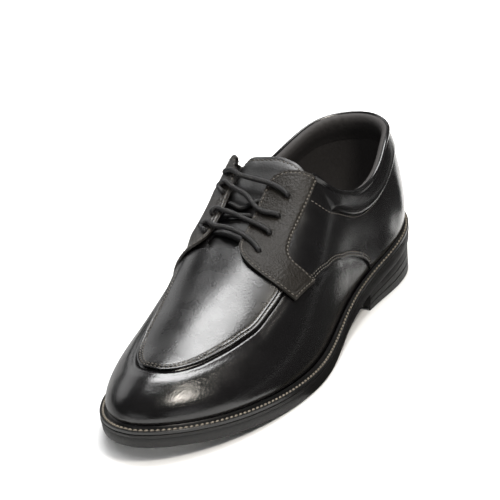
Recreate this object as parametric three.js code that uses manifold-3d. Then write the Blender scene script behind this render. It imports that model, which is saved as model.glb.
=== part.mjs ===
// Left chef shoe: a black leather lace-up derby with a raised apron, a padded collar,
// a stitched welt and a lugged rubber outsole with a separate heel block.
// Millimetres, +X to the toe, +Y to the little-toe side, +Z up.
import * as THREE from 'three';
import { mergeVertices, toCreasedNormals } from 'three/addons/utils/BufferGeometryUtils.js';
import Module from 'manifold-3d';

const wasm = await Module();
wasm.setup();

// Driving sizes
const UPPER_LENGTH = 290;
const BALL_WIDTH = 90;
const INSTEP_HEIGHT = 104.5;
const COLLAR_HEIGHT = 90;
const HEEL_LIFT = 22.2;
const TOE_SPRING = 8.7;

// Thicknesses and fits
const WALL = 1.8;
const OVERLAY = 1.4;
const TONGUE_THICK = 3;
const INSOLE_THICK = 2.6;
const WELT_THICK = 2.2;
const BEAD_HIGH = 0.9;
const BEAD_LEAN = 0.8;
const SOLE_THICK = 7.7;
const FIT = 0.35;
const OVERLAY_FIT = 0.5;
const FACING_FIT = 0.65;

// Collar
const COLLAR_DEPTH = 14;
const COLLAR_PAD = 3.2;
const COLLAR_RISE = 3;
const COLLAR_FRONT = 0.385;
const COLLAR_REACH = 0.7;
const COLLAR_LAP = 0.35;
const COLLAR_LINING = 1.6;
const COLLAR_HEM = 0.8;

// Throat and lacing, as shares of the length along the ridge and of the ball width from it
const THROAT_HALF = 0.112;
const THROAT_TOE = 0.6;
const THROAT_ROUND = 0.03;
const TONGUE_TOP = 0.375;
const TONGUE_TOE = 0.625;
const APRON_REAR = 0.655;
const EYELET_OUT = 0.25;
const LACE_THICK = 3;
const LACE_SIDES = 8;
const LACE_STEPS = 10;
const LACE_SINK = 1.2;
const LACE_SHOULDER = 0.13;
const LACE_EDGE = 0.25;
const LACE_DIP = 0.38;

// Sole edge, heel block and tread
const SOLE_STEP = 0.6;
const SOLE_STEP_DOWN = 1.8;
const FLAT_CUT = 0.15;
const HEEL_BREAST = 0.285;
const HEEL_INSET = 0.9;
const HEEL_TAPER = 1.1;
const HEEL_GROOVE = 0.8;
const LUG_LONG = 14.6;
const LUG_WIDE = 10.5;
const LUG_GAP = 1.3;
const LUG_DEEP = 2.2;
const TREAD_MARGIN = 9;
const TREAD_REAR = 0.445;
const HEEL_MARGIN = 5;

// Plan of the upper's foot line, from the back round the little-toe side to the tip and back.
// along: share of the length. out: share of the ball width. ridge: where its rib meets the ridge.
const OUTLINE = [
  { at: 'back', along: 0.006, out: 0, ridge: 0.16 },
  { at: 'outer counter', along: 0.04, out: 0.215, ridge: 0.165 },
  { at: 'outer heel', along: 0.13, out: 0.342, ridge: 0.19 },
  { at: 'outer seat', along: 0.258, out: 0.352, ridge: 0.275 },
  { at: 'outer waist', along: 0.396, out: 0.395, ridge: 0.396 },
  { at: 'outer joint', along: 0.517, out: 0.47, ridge: 0.51 },
  { at: 'outer ball', along: 0.627, out: 0.522, ridge: 0.62 },
  { at: 'outer front', along: 0.717, out: 0.51, ridge: 0.707 },
  { at: 'outer toe', along: 0.807, out: 0.455, ridge: 0.786 },
  { at: 'outer corner', along: 0.89, out: 0.355, ridge: 0.848 },
  { at: 'outer tip', along: 0.96, out: 0.2, ridge: 0.88 },
  { at: 'tip', along: 1, out: -0.04, ridge: 0.893 },
  { at: 'inner tip', along: 0.972, out: -0.225, ridge: 0.886 },
  { at: 'inner corner', along: 0.917, out: -0.355, ridge: 0.855 },
  { at: 'inner toe', along: 0.838, out: -0.455, ridge: 0.797 },
  { at: 'inner ball', along: 0.745, out: -0.48, ridge: 0.717 },
  { at: 'inner joint', along: 0.648, out: -0.436, ridge: 0.628 },
  { at: 'inner arch', along: 0.534, out: -0.375, ridge: 0.517 },
  { at: 'inner waist', along: 0.407, out: -0.35, ridge: 0.4 },
  { at: 'inner seat', along: 0.269, out: -0.345, ridge: 0.279 },
  { at: 'inner heel', along: 0.13, out: -0.345, ridge: 0.19 },
  { at: 'inner counter', along: 0.04, out: -0.23, ridge: 0.165 },
];
const TIP = OUTLINE.findIndex((row) => row.at === 'tip');

// Ridge of the last over the instep and the toe box. high: share of the instep height.
const RIDGE = [
  { along: 0.15, high: 1.445, out: 0 },
  { along: 0.22, high: 1.34, out: -0.022 },
  { along: 0.31, high: 1.182, out: -0.061 },
  { along: 0.4, high: 1, out: -0.094 },
  { along: 0.5, high: 0.799, out: -0.1 },
  { along: 0.6, high: 0.684, out: -0.084 },
  { along: 0.7, high: 0.572, out: -0.061 },
  { along: 0.785, high: 0.492, out: -0.044 },
  { along: 0.85, high: 0.434, out: -0.033 },
  { along: 0.88, high: 0.416, out: -0.029 },
  { along: 0.895, high: 0.406, out: -0.027 },
];

// Height of the foot line over the ball. heel: share of the heel lift. spring: share of the toe spring.
const FOOT_LINE = [
  { along: 0, heel: 1, spring: 0 },
  { along: 0.13, heel: 0.768, spring: 0 },
  { along: 0.27, heel: 0.522, spring: 0 },
  { along: 0.4, heel: 0.314, spring: 0 },
  { along: 0.52, heel: 0.06, spring: 0 },
  { along: 0.6, heel: 0, spring: 0 },
  { along: 0.68, heel: 0, spring: 0 },
  { along: 0.74, heel: 0, spring: 0.07 },
  { along: 0.81, heel: 0, spring: 0.24 },
  { along: 0.9, heel: 0, spring: 0.54 },
  { along: 1, heel: 0, spring: 1 },
];

// Fullness of the ribs: 1 is an ellipse, less is squarer.
const FULLNESS = [
  { along: 0, power: 1.2 },
  { along: 0.1, power: 1.2 },
  { along: 0.35, power: 0.58 },
  { along: 0.55, power: 0.45 },
  { along: 0.75, power: 0.93 },
  { along: 0.95, power: 1.05 },
  { along: 1, power: 1.05 },
];
const BULGE = 4.8;
const BULGE_LOW = 0.55;
const RIDGE_STEP = 0.002; // share of the length over which the fall of the ridge is read

// Finished top edge, as shares of the collar height on each side.
const TOP_LINE = [
  { along: 0.02, outer: 1, inner: 1 },
  { along: 0.06, outer: 0.995, inner: 0.99 },
  { along: 0.133, outer: 0.965, inner: 0.94 },
  { along: 0.176, outer: 0.897, inner: 0.915 },
  { along: 0.233, outer: 0.838, inner: 0.9 },
  { along: 0.27, outer: 0.836, inner: 0.91 },
  { along: 0.311, outer: 0.868, inner: 0.95 },
  { along: 0.34, outer: 0.905, inner: 0.99 },
  { along: 0.392, outer: 1.02, inner: 1.09 },
  { along: 0.415, outer: 1.115, inner: 1.13 },
  { along: 0.45, outer: 1.17, inner: 1.17 },
];

// Apron seam on each side. out: share of the ball width from the ridge, over the leather.
const APRON_SEAM = [
  { ridge: 0.4, outer: 0.56, inner: 0.46 },
  { ridge: 0.645, outer: 0.497, inner: 0.275 },
  { ridge: 0.729, outer: 0.44, inner: 0.255 },
  { ridge: 0.789, outer: 0.35, inner: 0.24 },
  { ridge: 0.836, outer: 0.262, inner: 0.215 },
  { ridge: 0.858, outer: 0.213, inner: 0.185 },
  { ridge: 0.873, outer: 0.172, inner: 0.157 },
  { ridge: 0.884, outer: 0.13, inner: 0.125 },
  { ridge: 0.893, outer: 0.085, inner: 0.085 },
];

// Facing pattern. out: share of the ball width from the ridge, measured over the leather.
const FACING_OUTER = [
  { ridge: 0.4, out: 0.02 },
  { ridge: 0.57, out: 0.02 },
  { ridge: 0.582, out: 0.118 },
  { ridge: 0.614, out: 0.177 },
  { ridge: 0.628, out: 0.232 },
  { ridge: 0.636, out: 0.348 },
  { ridge: 0.637, out: 0.466 },
  { ridge: 0.628, out: 0.6 },
  { ridge: 0.59, out: 0.64 },
  { ridge: 0.555, out: 0.68 },
  { ridge: 0.562, out: 0.552 },
  { ridge: 0.569, out: 0.478 },
  { ridge: 0.562, out: 0.434 },
  { ridge: 0.535, out: 0.413 },
  { ridge: 0.469, out: 0.414 },
  { ridge: 0.402, out: 0.412 },
];
// The inner facing ends sooner towards the toe.
const FACING_INNER = [
  { ridge: 0.4, out: 0.02 },
  { ridge: 0.545, out: 0.02 },
  { ridge: 0.57, out: 0.118 },
  { ridge: 0.585, out: 0.14 },
  { ridge: 0.594, out: 0.172 },
  { ridge: 0.598, out: 0.23 },
  { ridge: 0.598, out: 0.3 },
  { ridge: 0.595, out: 0.36 },
  { ridge: 0.59, out: 0.46 },
  { ridge: 0.583, out: 0.58 },
  { ridge: 0.555, out: 0.63 },
  { ridge: 0.53, out: 0.68 },
  { ridge: 0.532, out: 0.56 },
  { ridge: 0.532, out: 0.48 },
  { ridge: 0.525, out: 0.434 },
  { ridge: 0.505, out: 0.413 },
  { ridge: 0.469, out: 0.414 },
  { ridge: 0.402, out: 0.412 },
];

// Eyelet pairs from the top down, along the ridge.
const EYELETS = [
  { outer: 0.458, inner: 0.425 },
  { outer: 0.498, inner: 0.46 },
  { outer: 0.539, inner: 0.497 },
  { outer: 0.584, inner: 0.54 },
];

// How far the sole and the welt stand out from the foot line, in millimetres.
const MARGIN = [
  { along: 0, out: 4.4 },
  { along: 0.28, out: 4 },
  { along: 0.42, out: 4.2 },
  { along: 0.6, out: 5.8 },
  { along: 0.85, out: 6.6 },
  { along: 1, out: 6.8 },
];

// Levels of the heel block's side, from the floor up. lift: share of the block's height.
const HEEL_SIDE = [
  { lift: 0, inset: 1, groove: 0 },
  { lift: 0.3, inset: 0.7, groove: 0 },
  { lift: 0.33, inset: 0.67, groove: 1 },
  { lift: 0.36, inset: 0.64, groove: 0 },
  { lift: 0.62, inset: 0.38, groove: 0 },
  { lift: 0.65, inset: 0.35, groove: 1 },
  { lift: 0.68, inset: 0.32, groove: 0 },
  { lift: 1, inset: 0, groove: 0 },
];

// Rows of the upper's net: shares of the way from the foot line to the seam row, then to the top.
const LOW_ROWS = [0, 0.16, 0.35, 0.56, 0.78, 1];
const HIGH_ROWS = [0.25, 0.5, 0.75, 1];
const RIDGE_ROWS = [0.5, 1];
const SEAM_ROW = LOW_ROWS.length;
const TOP_ROW = SEAM_ROW + HIGH_ROWS.length;
const SEAM_BELOW = 0.1;
const HALF_COLUMNS = 30;

// Levels below and above every piece that a cutting block reaches
const CUT_LOW = -5;
const CUT_HIGH = 60;

const COLOURS = {
  leather: 0x161617,
  welt: 0x1b1b1c,
  rubber: 0x232324,
  lining: 0x1e1e1f,
  lace: 0x0e0e0f,
};

// Solves a small set of equations, one right-hand row for each unknown.
function solve(matrix, right) {
  const size = matrix.length;
  for (let i = 0; i < size; i += 1) {
    for (let row = i + 1; row < size; row += 1) {
      const share = matrix[row][i] / matrix[i][i];
      for (let col = i; col < size; col += 1) matrix[row][col] -= share * matrix[i][col];
      right[row] = right[row].map((value, k) => value - share * right[i][k]);
    }
  }
  for (let i = size - 1; i >= 0; i -= 1) {
    for (let col = i + 1; col < size; col += 1) {
      right[i] = right[i].map((value, k) => value - matrix[i][col] * right[col][k]);
    }
    right[i] = right[i].map((value) => value / matrix[i][i]);
  }
  return right;
}

// Smooth cubic through rows of values at given stations. A period closes it on itself.
function spline(at, rows, period = 0) {
  const closed = period > 0;
  const count = at.length;
  const next = (i) => (i + 1) % count;
  const gap = (i) => (i === count - 1 ? period + at[0] - at[i] : at[i + 1] - at[i]);
  const slope = (i) => rows[i].map((value, k) => (rows[next(i)][k] - value) / gap(i));
  const matrix = at.map(() => new Array(count).fill(0));
  const right = at.map(() => rows[0].map(() => 0));
  for (let i = 0; i < count; i += 1) {
    const before = (i + count - 1) % count;
    if (!closed && (i === 0 || i === count - 1)) {
      matrix[i][i] = 1;
    } else {
      matrix[i][before] += gap(before);
      matrix[i][i] += 2 * (gap(before) + gap(i));
      matrix[i][next(i)] += gap(i);
      const rise = slope(i);
      const rose = slope(before);
      right[i] = rise.map((value, k) => 6 * (value - rose[k]));
    }
  }
  const bend = solve(matrix, right);
  return (t) => {
    const u = closed ? at[0] + ((((t - at[0]) % period) + period) % period) : t;
    let i = 0;
    while (i < count - (closed ? 1 : 2) && u >= at[i + 1]) i += 1;
    const width = gap(i);
    const b = (u - at[i]) / width;
    const a = 1 - b;
    return rows[i].map((value, k) => a * value + b * rows[next(i)][k]
      + ((a ** 3 - a) * bend[i][k] + (b ** 3 - b) * bend[next(i)][k]) * width * width / 6);
  };
}

// Last value where a rising test turns true, found by halving.
function crossing(low, high, test) {
  let from = low;
  let to = high;
  for (let k = 0; k < 34; k += 1) {
    const mid = (from + to) / 2;
    if (test(mid)) to = mid;
    else from = mid;
  }
  return (from + to) / 2;
}

const mix = (a, b, share) => a + (b - a) * share;

// Straight-line reading of a table between its rows.
function read(table, key, value, at) {
  const last = table.length - 1;
  if (at <= table[0][key]) return table[0][value];
  if (at >= table[last][key]) return table[last][value];
  const i = table.findIndex((row, k) => k < last && at < table[k + 1][key]);
  const share = (at - table[i][key]) / (table[i + 1][key] - table[i][key]);
  return mix(table[i][value], table[i + 1][value], share);
}

// The last: foot line, ridge and ribs between them
const planRows = OUTLINE.map((row) => [row.along * UPPER_LENGTH, row.out * BALL_WIDTH]);
const stations = [0];
for (let i = 1; i < planRows.length; i += 1) {
  const [x, y] = planRows[i - 1];
  stations.push(stations[i - 1] + Math.hypot(planRows[i][0] - x, planRows[i][1] - y));
}
const [backX, backY] = planRows[0];
const [lastX, lastY] = planRows[planRows.length - 1];
const ROUND = stations[stations.length - 1] + Math.hypot(backX - lastX, backY - lastY);
const plan = spline(stations, planRows, ROUND);
const ridgeShare = spline(stations, OUTLINE.map((row) => [row.ridge]), ROUND);
const ridgeLine = spline(
  RIDGE.map((row) => row.along),
  RIDGE.map((row) => [row.out * BALL_WIDTH, row.high * INSTEP_HEIGHT]),
);
const BALL_BASE = WELT_THICK + FIT + SOLE_THICK;
const footRise = spline(
  FOOT_LINE.map((row) => row.along),
  FOOT_LINE.map((row) => [row.heel * HEEL_LIFT + row.spring * TOE_SPRING]),
);
const footZ = (x) => BALL_BASE + footRise(x / UPPER_LENGTH)[0];
const fullness = spline(FULLNESS.map((row) => row.along), FULLNESS.map((row) => [row.power]));
const topLine = spline(
  TOP_LINE.map((row) => row.along),
  TOP_LINE.map((row) => [row.outer * COLLAR_HEIGHT, row.inner * COLLAR_HEIGHT]),
);
const TOP_LINE_BACK = TOP_LINE[0].along;
const TOP_LINE_FRONT = TOP_LINE[TOP_LINE.length - 1].along;

// Unit vector out of the plan outline at station q.
function outward(q) {
  const [x0, y0] = plan(q - 0.5);
  const [x1, y1] = plan(q + 0.5);
  const size = Math.hypot(x1 - x0, y1 - y0);
  return [(y0 - y1) / size, (x1 - x0) / size];
}

// Point of the last at outline station q, a share up its rib.
function skin(q, up) {
  const [x, y] = plan(q);
  const share = ridgeShare(q)[0];
  const [ridgeY, ridgeZ] = ridgeLine(share);
  const z = footZ(x);
  const power = fullness(x / UPPER_LENGTH)[0];
  const turn = 1 - (1 - up) ** (1 / power);
  const angle = turn * Math.PI / 2;
  const across = 1 - Math.max(Math.cos(angle), 0) ** power;
  const rise = Math.sin(angle) ** (0.5 + power / 2);
  const swell = BULGE * Math.sin(Math.PI * turn ** BULGE_LOW) * (1 - turn);
  // A rib that leans along the foot follows the fall of the ridge, so the sides meet without a crease
  const fall = (ridgeLine(share + RIDGE_STEP)[1] - ridgeLine(share - RIDGE_STEP)[1]) / (2 * RIDGE_STEP * UPPER_LENGTH);
  const follow = fall * (x - share * UPPER_LENGTH) * (1 - across) * across ** 3;
  const [nx, ny] = outward(q);
  return new THREE.Vector3(
    mix(x, share * UPPER_LENGTH, across) + nx * swell,
    mix(y, ridgeY, across) + ny * swell,
    mix(z, ridgeZ, rise) + follow,
  );
}

// Outward unit normal of the last there.
function skinNormal(q, up) {
  if (up > 0.999) {
    const share = ridgeShare(q)[0];
    const fall = ridgeLine(share - RIDGE_STEP)[1] - ridgeLine(share + RIDGE_STEP)[1];
    return new THREE.Vector3(fall, 0, 2 * RIDGE_STEP * UPPER_LENGTH).normalize();
  }
  const high = Math.min(up + 0.004, 1);
  const low = Math.max(up - 0.004, 0);
  const along = skin(q + 0.4, up).sub(skin(q - 0.4, up));
  const rib = skin(q, high).sub(skin(q, low));
  return rib.cross(along).normalize();
}

// Share up the rib that lies a distance from the ridge, measured over the leather.
function upAtDistance(q, distance) {
  const steps = 80;
  let walked = 0;
  let last = skin(q, 1);
  for (let k = 1; k <= steps; k += 1) {
    const point = skin(q, 1 - k / steps);
    walked += point.distanceTo(last);
    if (walked >= distance) return 1 - (k - (walked - distance) / point.distanceTo(last)) / steps;
    last = point;
  }
  return 0;
}

// The net: columns from the back round the outer side, the tip and the inner side
const tipStation = stations[TIP];
const columns = [];
for (let i = 0; i <= HALF_COLUMNS; i += 1) {
  const q = tipStation * i / HALF_COLUMNS;
  columns.push({ q, ridge: ridgeShare(q)[0], side: 0 });
}
for (let i = HALF_COLUMNS - 1; i > 0; i -= 1) {
  const { ridge } = columns[i];
  const q = crossing(tipStation, ROUND, (station) => ridgeShare(station)[0] < ridge);
  columns.push({ q, ridge, side: 1 });
}
const COLUMN_COUNT = columns.length;
const column = (i) => columns[(i + COLUMN_COUNT) % COLUMN_COUNT];
const mirror = (i) => (COLUMN_COUNT - i) % COLUMN_COUNT;

// Whether the leather has ended at this share of the rib: over the top line or inside the throat.
function isOpen(q, side, up) {
  const point = skin(q, up);
  const x = point.x / UPPER_LENGTH;
  const edge = topLine(Math.min(x, TOP_LINE_FRONT))[side];
  const drop = x < COLLAR_FRONT ? COLLAR_RISE : 0;
  if (point.z > edge - drop && x < TOP_LINE_FRONT) return true;
  const share = ridgeShare(q)[0];
  if (share < COLLAR_FRONT || share >= THROAT_TOE) return false;
  const round = Math.sqrt(Math.min((THROAT_TOE - share) / THROAT_ROUND, 1));
  return Math.abs(point.y - ridgeLine(share)[0]) < THROAT_HALF * BALL_WIDTH * round;
}

function topUp({ q, side, ridge }) {
  if (ridge >= THROAT_TOE) return 1;
  for (let up = 0.1; up <= 1; up += 0.02) {
    if (isOpen(q, side, up)) return crossing(up - 0.02, up, (value) => isOpen(q, side, value));
  }
  return 1;
}

const SIDES = ['outer', 'inner'];

function seamUp({ q, side, ridge }, top) {
  const rear = APRON_SEAM[0].ridge;
  if (ridge > rear) {
    const out = read(APRON_SEAM, 'ridge', SIDES[side], ridge) * BALL_WIDTH;
    return Math.min(upAtDistance(q, out), top - SEAM_BELOW);
  }
  const level = topLine(Math.max(plan(q)[0] / UPPER_LENGTH, TOP_LINE_BACK))[side] - COLLAR_DEPTH;
  return crossing(0, top, (up) => skin(q, up).z > level);
}

for (const entry of columns) {
  const top = topUp(entry);
  const seam = seamUp(entry, top);
  entry.ups = [
    0,
    ...LOW_ROWS.map((share) => share * seam),
    ...HIGH_ROWS.map((share) => mix(seam, top, share)),
    ...RIDGE_ROWS.map((share) => mix(top, 1, share)),
  ];
  entry.points = entry.ups.map((up) => skin(entry.q, up));
  entry.normals = entry.ups.map((up) => skinNormal(entry.q, up));
  const [nx, ny] = outward(entry.q);
  entry.points[0].z -= WELT_THICK;
  entry.normals[0].set(nx, ny, 0);
  entry.normals[1].set(nx, ny, 0);
}

// Corners of the net's triangle round a place, each with its weight
function corners(i, j) {
  const left = Math.floor(i);
  const low = Math.min(Math.floor(j), columns[0].points.length - 2);
  const u = i - left;
  const v = j - low;
  return u > v
    ? [[left, low, 1 - u], [left + 1, low, u - v], [left + 1, low + 1, v]]
    : [[left, low, 1 - v], [left, low + 1, v - u], [left + 1, low + 1, u]];
}

// Point of the net at whole or part columns and rows, raised off the leather.
function on(i, j, off) {
  const result = new THREE.Vector3();
  for (const [a, b, weight] of corners(i, j)) {
    const entry = column(a);
    result.addScaledVector(entry.points[b], weight).addScaledVector(entry.normals[b], weight * off);
  }
  return result;
}

// Closed geometry from points and polygons, doubles merged and faces turned outward
function closedGeometry(corners) {
  const keys = new Map();
  const positions = [];
  const indexOf = (point) => {
    const key = [point.x, point.y, point.z].map((value) => Math.round(value * 2000)).join();
    if (!keys.has(key)) {
      keys.set(key, positions.length / 3);
      positions.push(point.x, point.y, point.z);
    }
    return keys.get(key);
  };
  const index = [];
  for (const corner of corners) {
    const ids = corner.map(indexOf);
    for (let k = 2; k < ids.length; k += 1) {
      const tri = [ids[0], ids[k - 1], ids[k]];
      if (new Set(tri).size === 3) index.push(...tri);
    }
  }
  const geometry = new THREE.BufferGeometry();
  geometry.setAttribute('position', new THREE.Float32BufferAttribute(positions, 3));
  geometry.setIndex(index);
  return volume(geometry) < 0 ? flipped(geometry) : geometry;
}

function volume(geometry) {
  const { array } = geometry.attributes.position;
  const index = geometry.index.array;
  const [a, b, c] = [new THREE.Vector3(), new THREE.Vector3(), new THREE.Vector3()];
  let total = 0;
  for (let k = 0; k < index.length; k += 3) {
    a.fromArray(array, index[k] * 3);
    b.fromArray(array, index[k + 1] * 3);
    c.fromArray(array, index[k + 2] * 3);
    total += a.dot(b.cross(c)) / 6;
  }
  return total;
}

function flipped(geometry) {
  const index = geometry.index.array;
  for (let k = 0; k < index.length; k += 3) {
    [index[k + 1], index[k + 2]] = [index[k + 2], index[k + 1]];
  }
  return geometry;
}

// A wall between an outer and an inner net of points. A top point marked joined meets the
// one across the ridge, so no face closes the wall there.
function quilt(grid, closed) {
  const faces = [];
  const count = grid.length;
  const rows = grid[0].length;
  const same = (a, b) => a.distanceTo(b) < 0.001;
  const spans = closed ? count : count - 1;
  const quad = (a, b, c, d) => faces.push([a, b, c], [a, c, d]);
  for (let i = 0; i < spans; i += 1) {
    const near = grid[i];
    const far = grid[(i + 1) % count];
    for (let j = 0; j + 1 < rows; j += 1) {
      quad(near[j][0], far[j][0], far[j + 1][0], near[j + 1][0]);
      quad(near[j][1], near[j + 1][1], far[j + 1][1], far[j][1]);
    }
    const top = rows - 1;
    quad(far[0][0], near[0][0], near[0][1], far[0][1]);
    if (!near[top].joined || !far[top].joined) quad(near[top][0], far[top][0], far[top][1], near[top][1]);
  }
  if (!closed) {
    for (const [end, turn] of [[grid[0], 1], [grid[count - 1], -1]]) {
      for (let j = 0; j + 1 < rows; j += 1) {
        const corners = [end[j][0], end[j + 1][0], end[j + 1][1], end[j][1]];
        const flat = same(corners[0], corners[1]) && same(corners[2], corners[3]);
        if (!flat) quad(...(turn > 0 ? corners : corners.reverse()));
      }
    }
  }
  return closedGeometry(faces);
}

// Stack of closed rings from the bottom up, its ends bridged from side to side.
function stack(rings) {
  const faces = [];
  const count = rings[0].length;
  const quad = (a, b, c, d) => faces.push([a, b, c], [a, c, d]);
  for (let level = 0; level + 1 < rings.length; level += 1) {
    for (let i = 0; i < count; i += 1) {
      const k = (i + 1) % count;
      quad(rings[level][i], rings[level][k], rings[level + 1][k], rings[level + 1][i]);
    }
  }
  const bottom = rings[0];
  const top = rings[rings.length - 1];
  for (let i = 0; i < count / 2; i += 1) {
    const k = mirror(i);
    const l = mirror(i + 1);
    quad(bottom[k], bottom[l], bottom[i + 1], bottom[i]);
    quad(top[i], top[i + 1], top[l], top[k]);
  }
  return closedGeometry(faces);
}

// A closed band: the same section of points at each column.
function band(sections, closed) {
  const faces = [];
  const quad = (a, b, c, d) => faces.push([a, b, c], [a, c, d]);
  const spans = closed ? sections.length : sections.length - 1;
  for (let i = 0; i < spans; i += 1) {
    const near = sections[i];
    const far = sections[(i + 1) % sections.length];
    near.forEach((point, j) => {
      const k = (j + 1) % near.length;
      quad(point, far[j], far[k], near[k]);
    });
  }
  if (!closed) {
    const first = sections[0];
    const last = sections[sections.length - 1];
    const half = first.length / 2;
    for (let j = 0; j + 1 < half; j += 1) {
      const k = first.length - 1 - j;
      quad(first[j], first[j + 1], first[k - 1], first[k]);
      quad(last[k], last[k - 1], last[j + 1], last[j]);
    }
  }
  return closedGeometry(faces);
}

function toSolid(geometry) {
  const bare = geometry.clone();
  bare.deleteAttribute('normal');
  bare.deleteAttribute('uv');
  const merged = mergeVertices(bare, 0.0005);
  return new wasm.Manifold(new wasm.Mesh({
    numProp: 3,
    vertProperties: new Float32Array(merged.attributes.position.array),
    triVerts: new Uint32Array(merged.index.array),
  }));
}

function fromSolid(solid) {
  const mesh = solid.getMesh();
  const geometry = new THREE.BufferGeometry();
  geometry.setAttribute('position', new THREE.Float32BufferAttribute(mesh.vertProperties, 3));
  geometry.setIndex(new THREE.Uint32BufferAttribute(mesh.triVerts, 1));
  return geometry;
}

function box(x0, x1, y0, y1, z0, z1) {
  const geometry = new THREE.BoxGeometry(x1 - x0, y1 - y0, z1 - z0);
  return toSolid(geometry.translate((x0 + x1) / 2, (y0 + y1) / 2, (z0 + z1) / 2));
}

const joinAll = (solids) => solids.reduce((sum, solid) => sum.add(solid));

// The main body of a cut piece, without a chip of no size where two channels meet.
const mainBody = (solid) => solid.decompose().reduce((a, b) => (b.volume() > a.volume() ? b : a));

// Upper: one hollow wall, closed over the toe, open at the collar, the throat and underneath
function upperGeometry() {
  const grid = columns.map((entry, i) => {
    const rows = entry.points.slice(0, TOP_ROW + 1).map((point, j) => [on(i, j, 0), on(i, j, -WALL)]);
    rows[TOP_ROW].joined = entry.ridge >= THROAT_TOE;
    return rows;
  });
  return quilt(grid, true);
}

// Apron: the raised plug of leather over the toes, sewn round its seam
function apronGeometry() {
  const first = columns.findIndex((entry) => entry.ridge >= APRON_REAR);
  const grid = [];
  for (let i = first; i <= mirror(first); i += 1) {
    const rows = [];
    for (let j = SEAM_ROW; j <= TOP_ROW; j += 1) {
      rows.push([on(i, j, OVERLAY_FIT + OVERLAY), on(i, j, OVERLAY_FIT)]);
    }
    rows[rows.length - 1].joined = true;
    grid.push(rows);
  }
  return quilt(grid, false);
}

// Column and row of the net for a place on the ridge and a distance from it
function place(side, ridge, out) {
  const half = columns.slice(0, HALF_COLUMNS + 1);
  const i = Math.min(half.findIndex((entry) => entry.ridge > ridge), HALF_COLUMNS) - 1;
  const share = (ridge - half[i].ridge) / (half[i + 1].ridge - half[i].ridge);
  const near = side ? column(mirror(i)) : half[i];
  const far = side ? column(mirror(i + 1)) : half[i + 1];
  const up = upAtDistance(mix(near.q, far.q, share), out * BALL_WIDTH);
  const levels = near.ups.map((value, j) => mix(value, far.ups[j], share));
  let j = 1;
  while (j < levels.length - 2 && levels[j + 1] <= up) j += 1;
  const row = j + (up - levels[j]) / Math.max(levels[j + 1] - levels[j], 1e-6);
  const at = i + share;
  return [side ? COLUMN_COUNT - at : at, Math.min(row, j + 1)];
}

// Flat pattern in columns and rows, cut from a slab of the net and wrapped on the leather.
// The slab is dished a little, so that its inner points stay when it is cut.
const DISH_ALONG = 0.02;
const DISH_UP = 0.03;
const dish = (i, j) => DISH_ALONG * (i - HALF_COLUMNS) ** 2 + DISH_UP * j ** 2;
const dished = (i, j) => corners(i, j).reduce((sum, [a, b, weight]) => sum + weight * dish(a, b), 0);

function wrapped(pattern, topRow, low, high) {
  const xs = pattern.map(([i]) => i);
  const first = Math.floor(Math.min(...xs)) - 1;
  const last = Math.ceil(Math.max(...xs)) + 1;
  const grid = [];
  for (let i = first; i <= last; i += 1) {
    const rows = [];
    for (let j = 1; j <= topRow; j += 1) {
      rows.push([high, low].map((off) => new THREE.Vector3(i, j, off + dish(i, j))));
    }
    grid.push(rows);
  }
  const outline = new THREE.Shape(pattern.map(([i, j]) => new THREE.Vector2(i, j)));
  const depth = 2 * (dish(0, topRow) + high);
  const cutter = new THREE.ExtrudeGeometry(outline, { depth, bevelEnabled: false });
  cutter.translate(0, 0, -depth / 4);
  const flat = fromSolid(toSolid(quilt(grid, false)).intersect(toSolid(cutter)));
  const { position } = flat.attributes;
  for (let k = 0; k < position.count; k += 1) {
    const [i, j] = [position.getX(k), position.getY(k)];
    const point = on(i, j, position.getZ(k) - dished(i, j));
    position.setXYZ(k, point.x, point.y, point.z);
  }
  return volume(flat) < 0 ? flipped(flat) : flat;
}

// Facing with its tab, one on each side of the throat
function facingGeometry(side) {
  const pattern = (side === 0 ? FACING_OUTER : FACING_INNER).map((row) => place(side, row.ridge, row.out));
  return wrapped(pattern, TOP_ROW, FACING_FIT, FACING_FIT + OVERLAY);
}

// Padded collar, folded over the upper's top edge from facing to facing
function collarGeometry() {
  const ahead = ({ q, ups }) => skin(q, ups[TOP_ROW]).x > COLLAR_FRONT * UPPER_LENGTH;
  const last = columns.findIndex(ahead) - 1 + COLLAR_REACH;
  const stops = [last];
  for (let i = Math.floor(last); i > -last; i -= 1) stops.push(i);
  stops.push(-last);
  const sections = [];
  for (const i of stops) {
    const pad = COLLAR_PAD * Math.min(1, (last + 1 - Math.abs(i)) / 3);
    const top = TOP_ROW;
    const raised = (off, lift) => on(i + COLUMN_COUNT, top, off).add(new THREE.Vector3(0, 0, lift));
    const at = (row, off) => on(i + COLUMN_COUNT, row, off);
    const seam = SEAM_ROW + COLLAR_LAP;
    const inner = -WALL - OVERLAY_FIT * 1.4;
    const lining = -WALL - FIT - COLLAR_LINING;
    sections.push([
      at(seam, OVERLAY_FIT),
      at(SEAM_ROW + 1, OVERLAY_FIT),
      at(top - 2, OVERLAY_FIT),
      at(top - 1, OVERLAY_FIT),
      raised(OVERLAY_FIT, OVERLAY_FIT),
      raised(-WALL - OVERLAY_FIT, OVERLAY_FIT),
      at(top - 1, inner),
      at(top - 1.5, inner),
      at(top - 1.4, lining),
      raised(lining, COLLAR_RISE * 0.5),
      raised(-WALL / 2, COLLAR_RISE),
      raised(FIT + pad * 0.55, COLLAR_RISE * 0.6),
      at(seam + 2.3, FIT + pad),
      at(seam + 1, FIT + pad * 0.8),
      at(seam, FIT + COLLAR_HEM),
    ]);
  }
  return band(sections, false);
}

// Backstay strip over the back seam
function backstayGeometry() {
  const rows = [1.7, 2, 3, 4, 5, SEAM_ROW];
  const grid = [-1, 0, 1].map((i) => rows.map((j) => [
    on(i + COLUMN_COUNT, j, FIT + OVERLAY),
    on(i + COLUMN_COUNT, j, FIT),
  ]));
  return quilt(grid, false);
}

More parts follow.
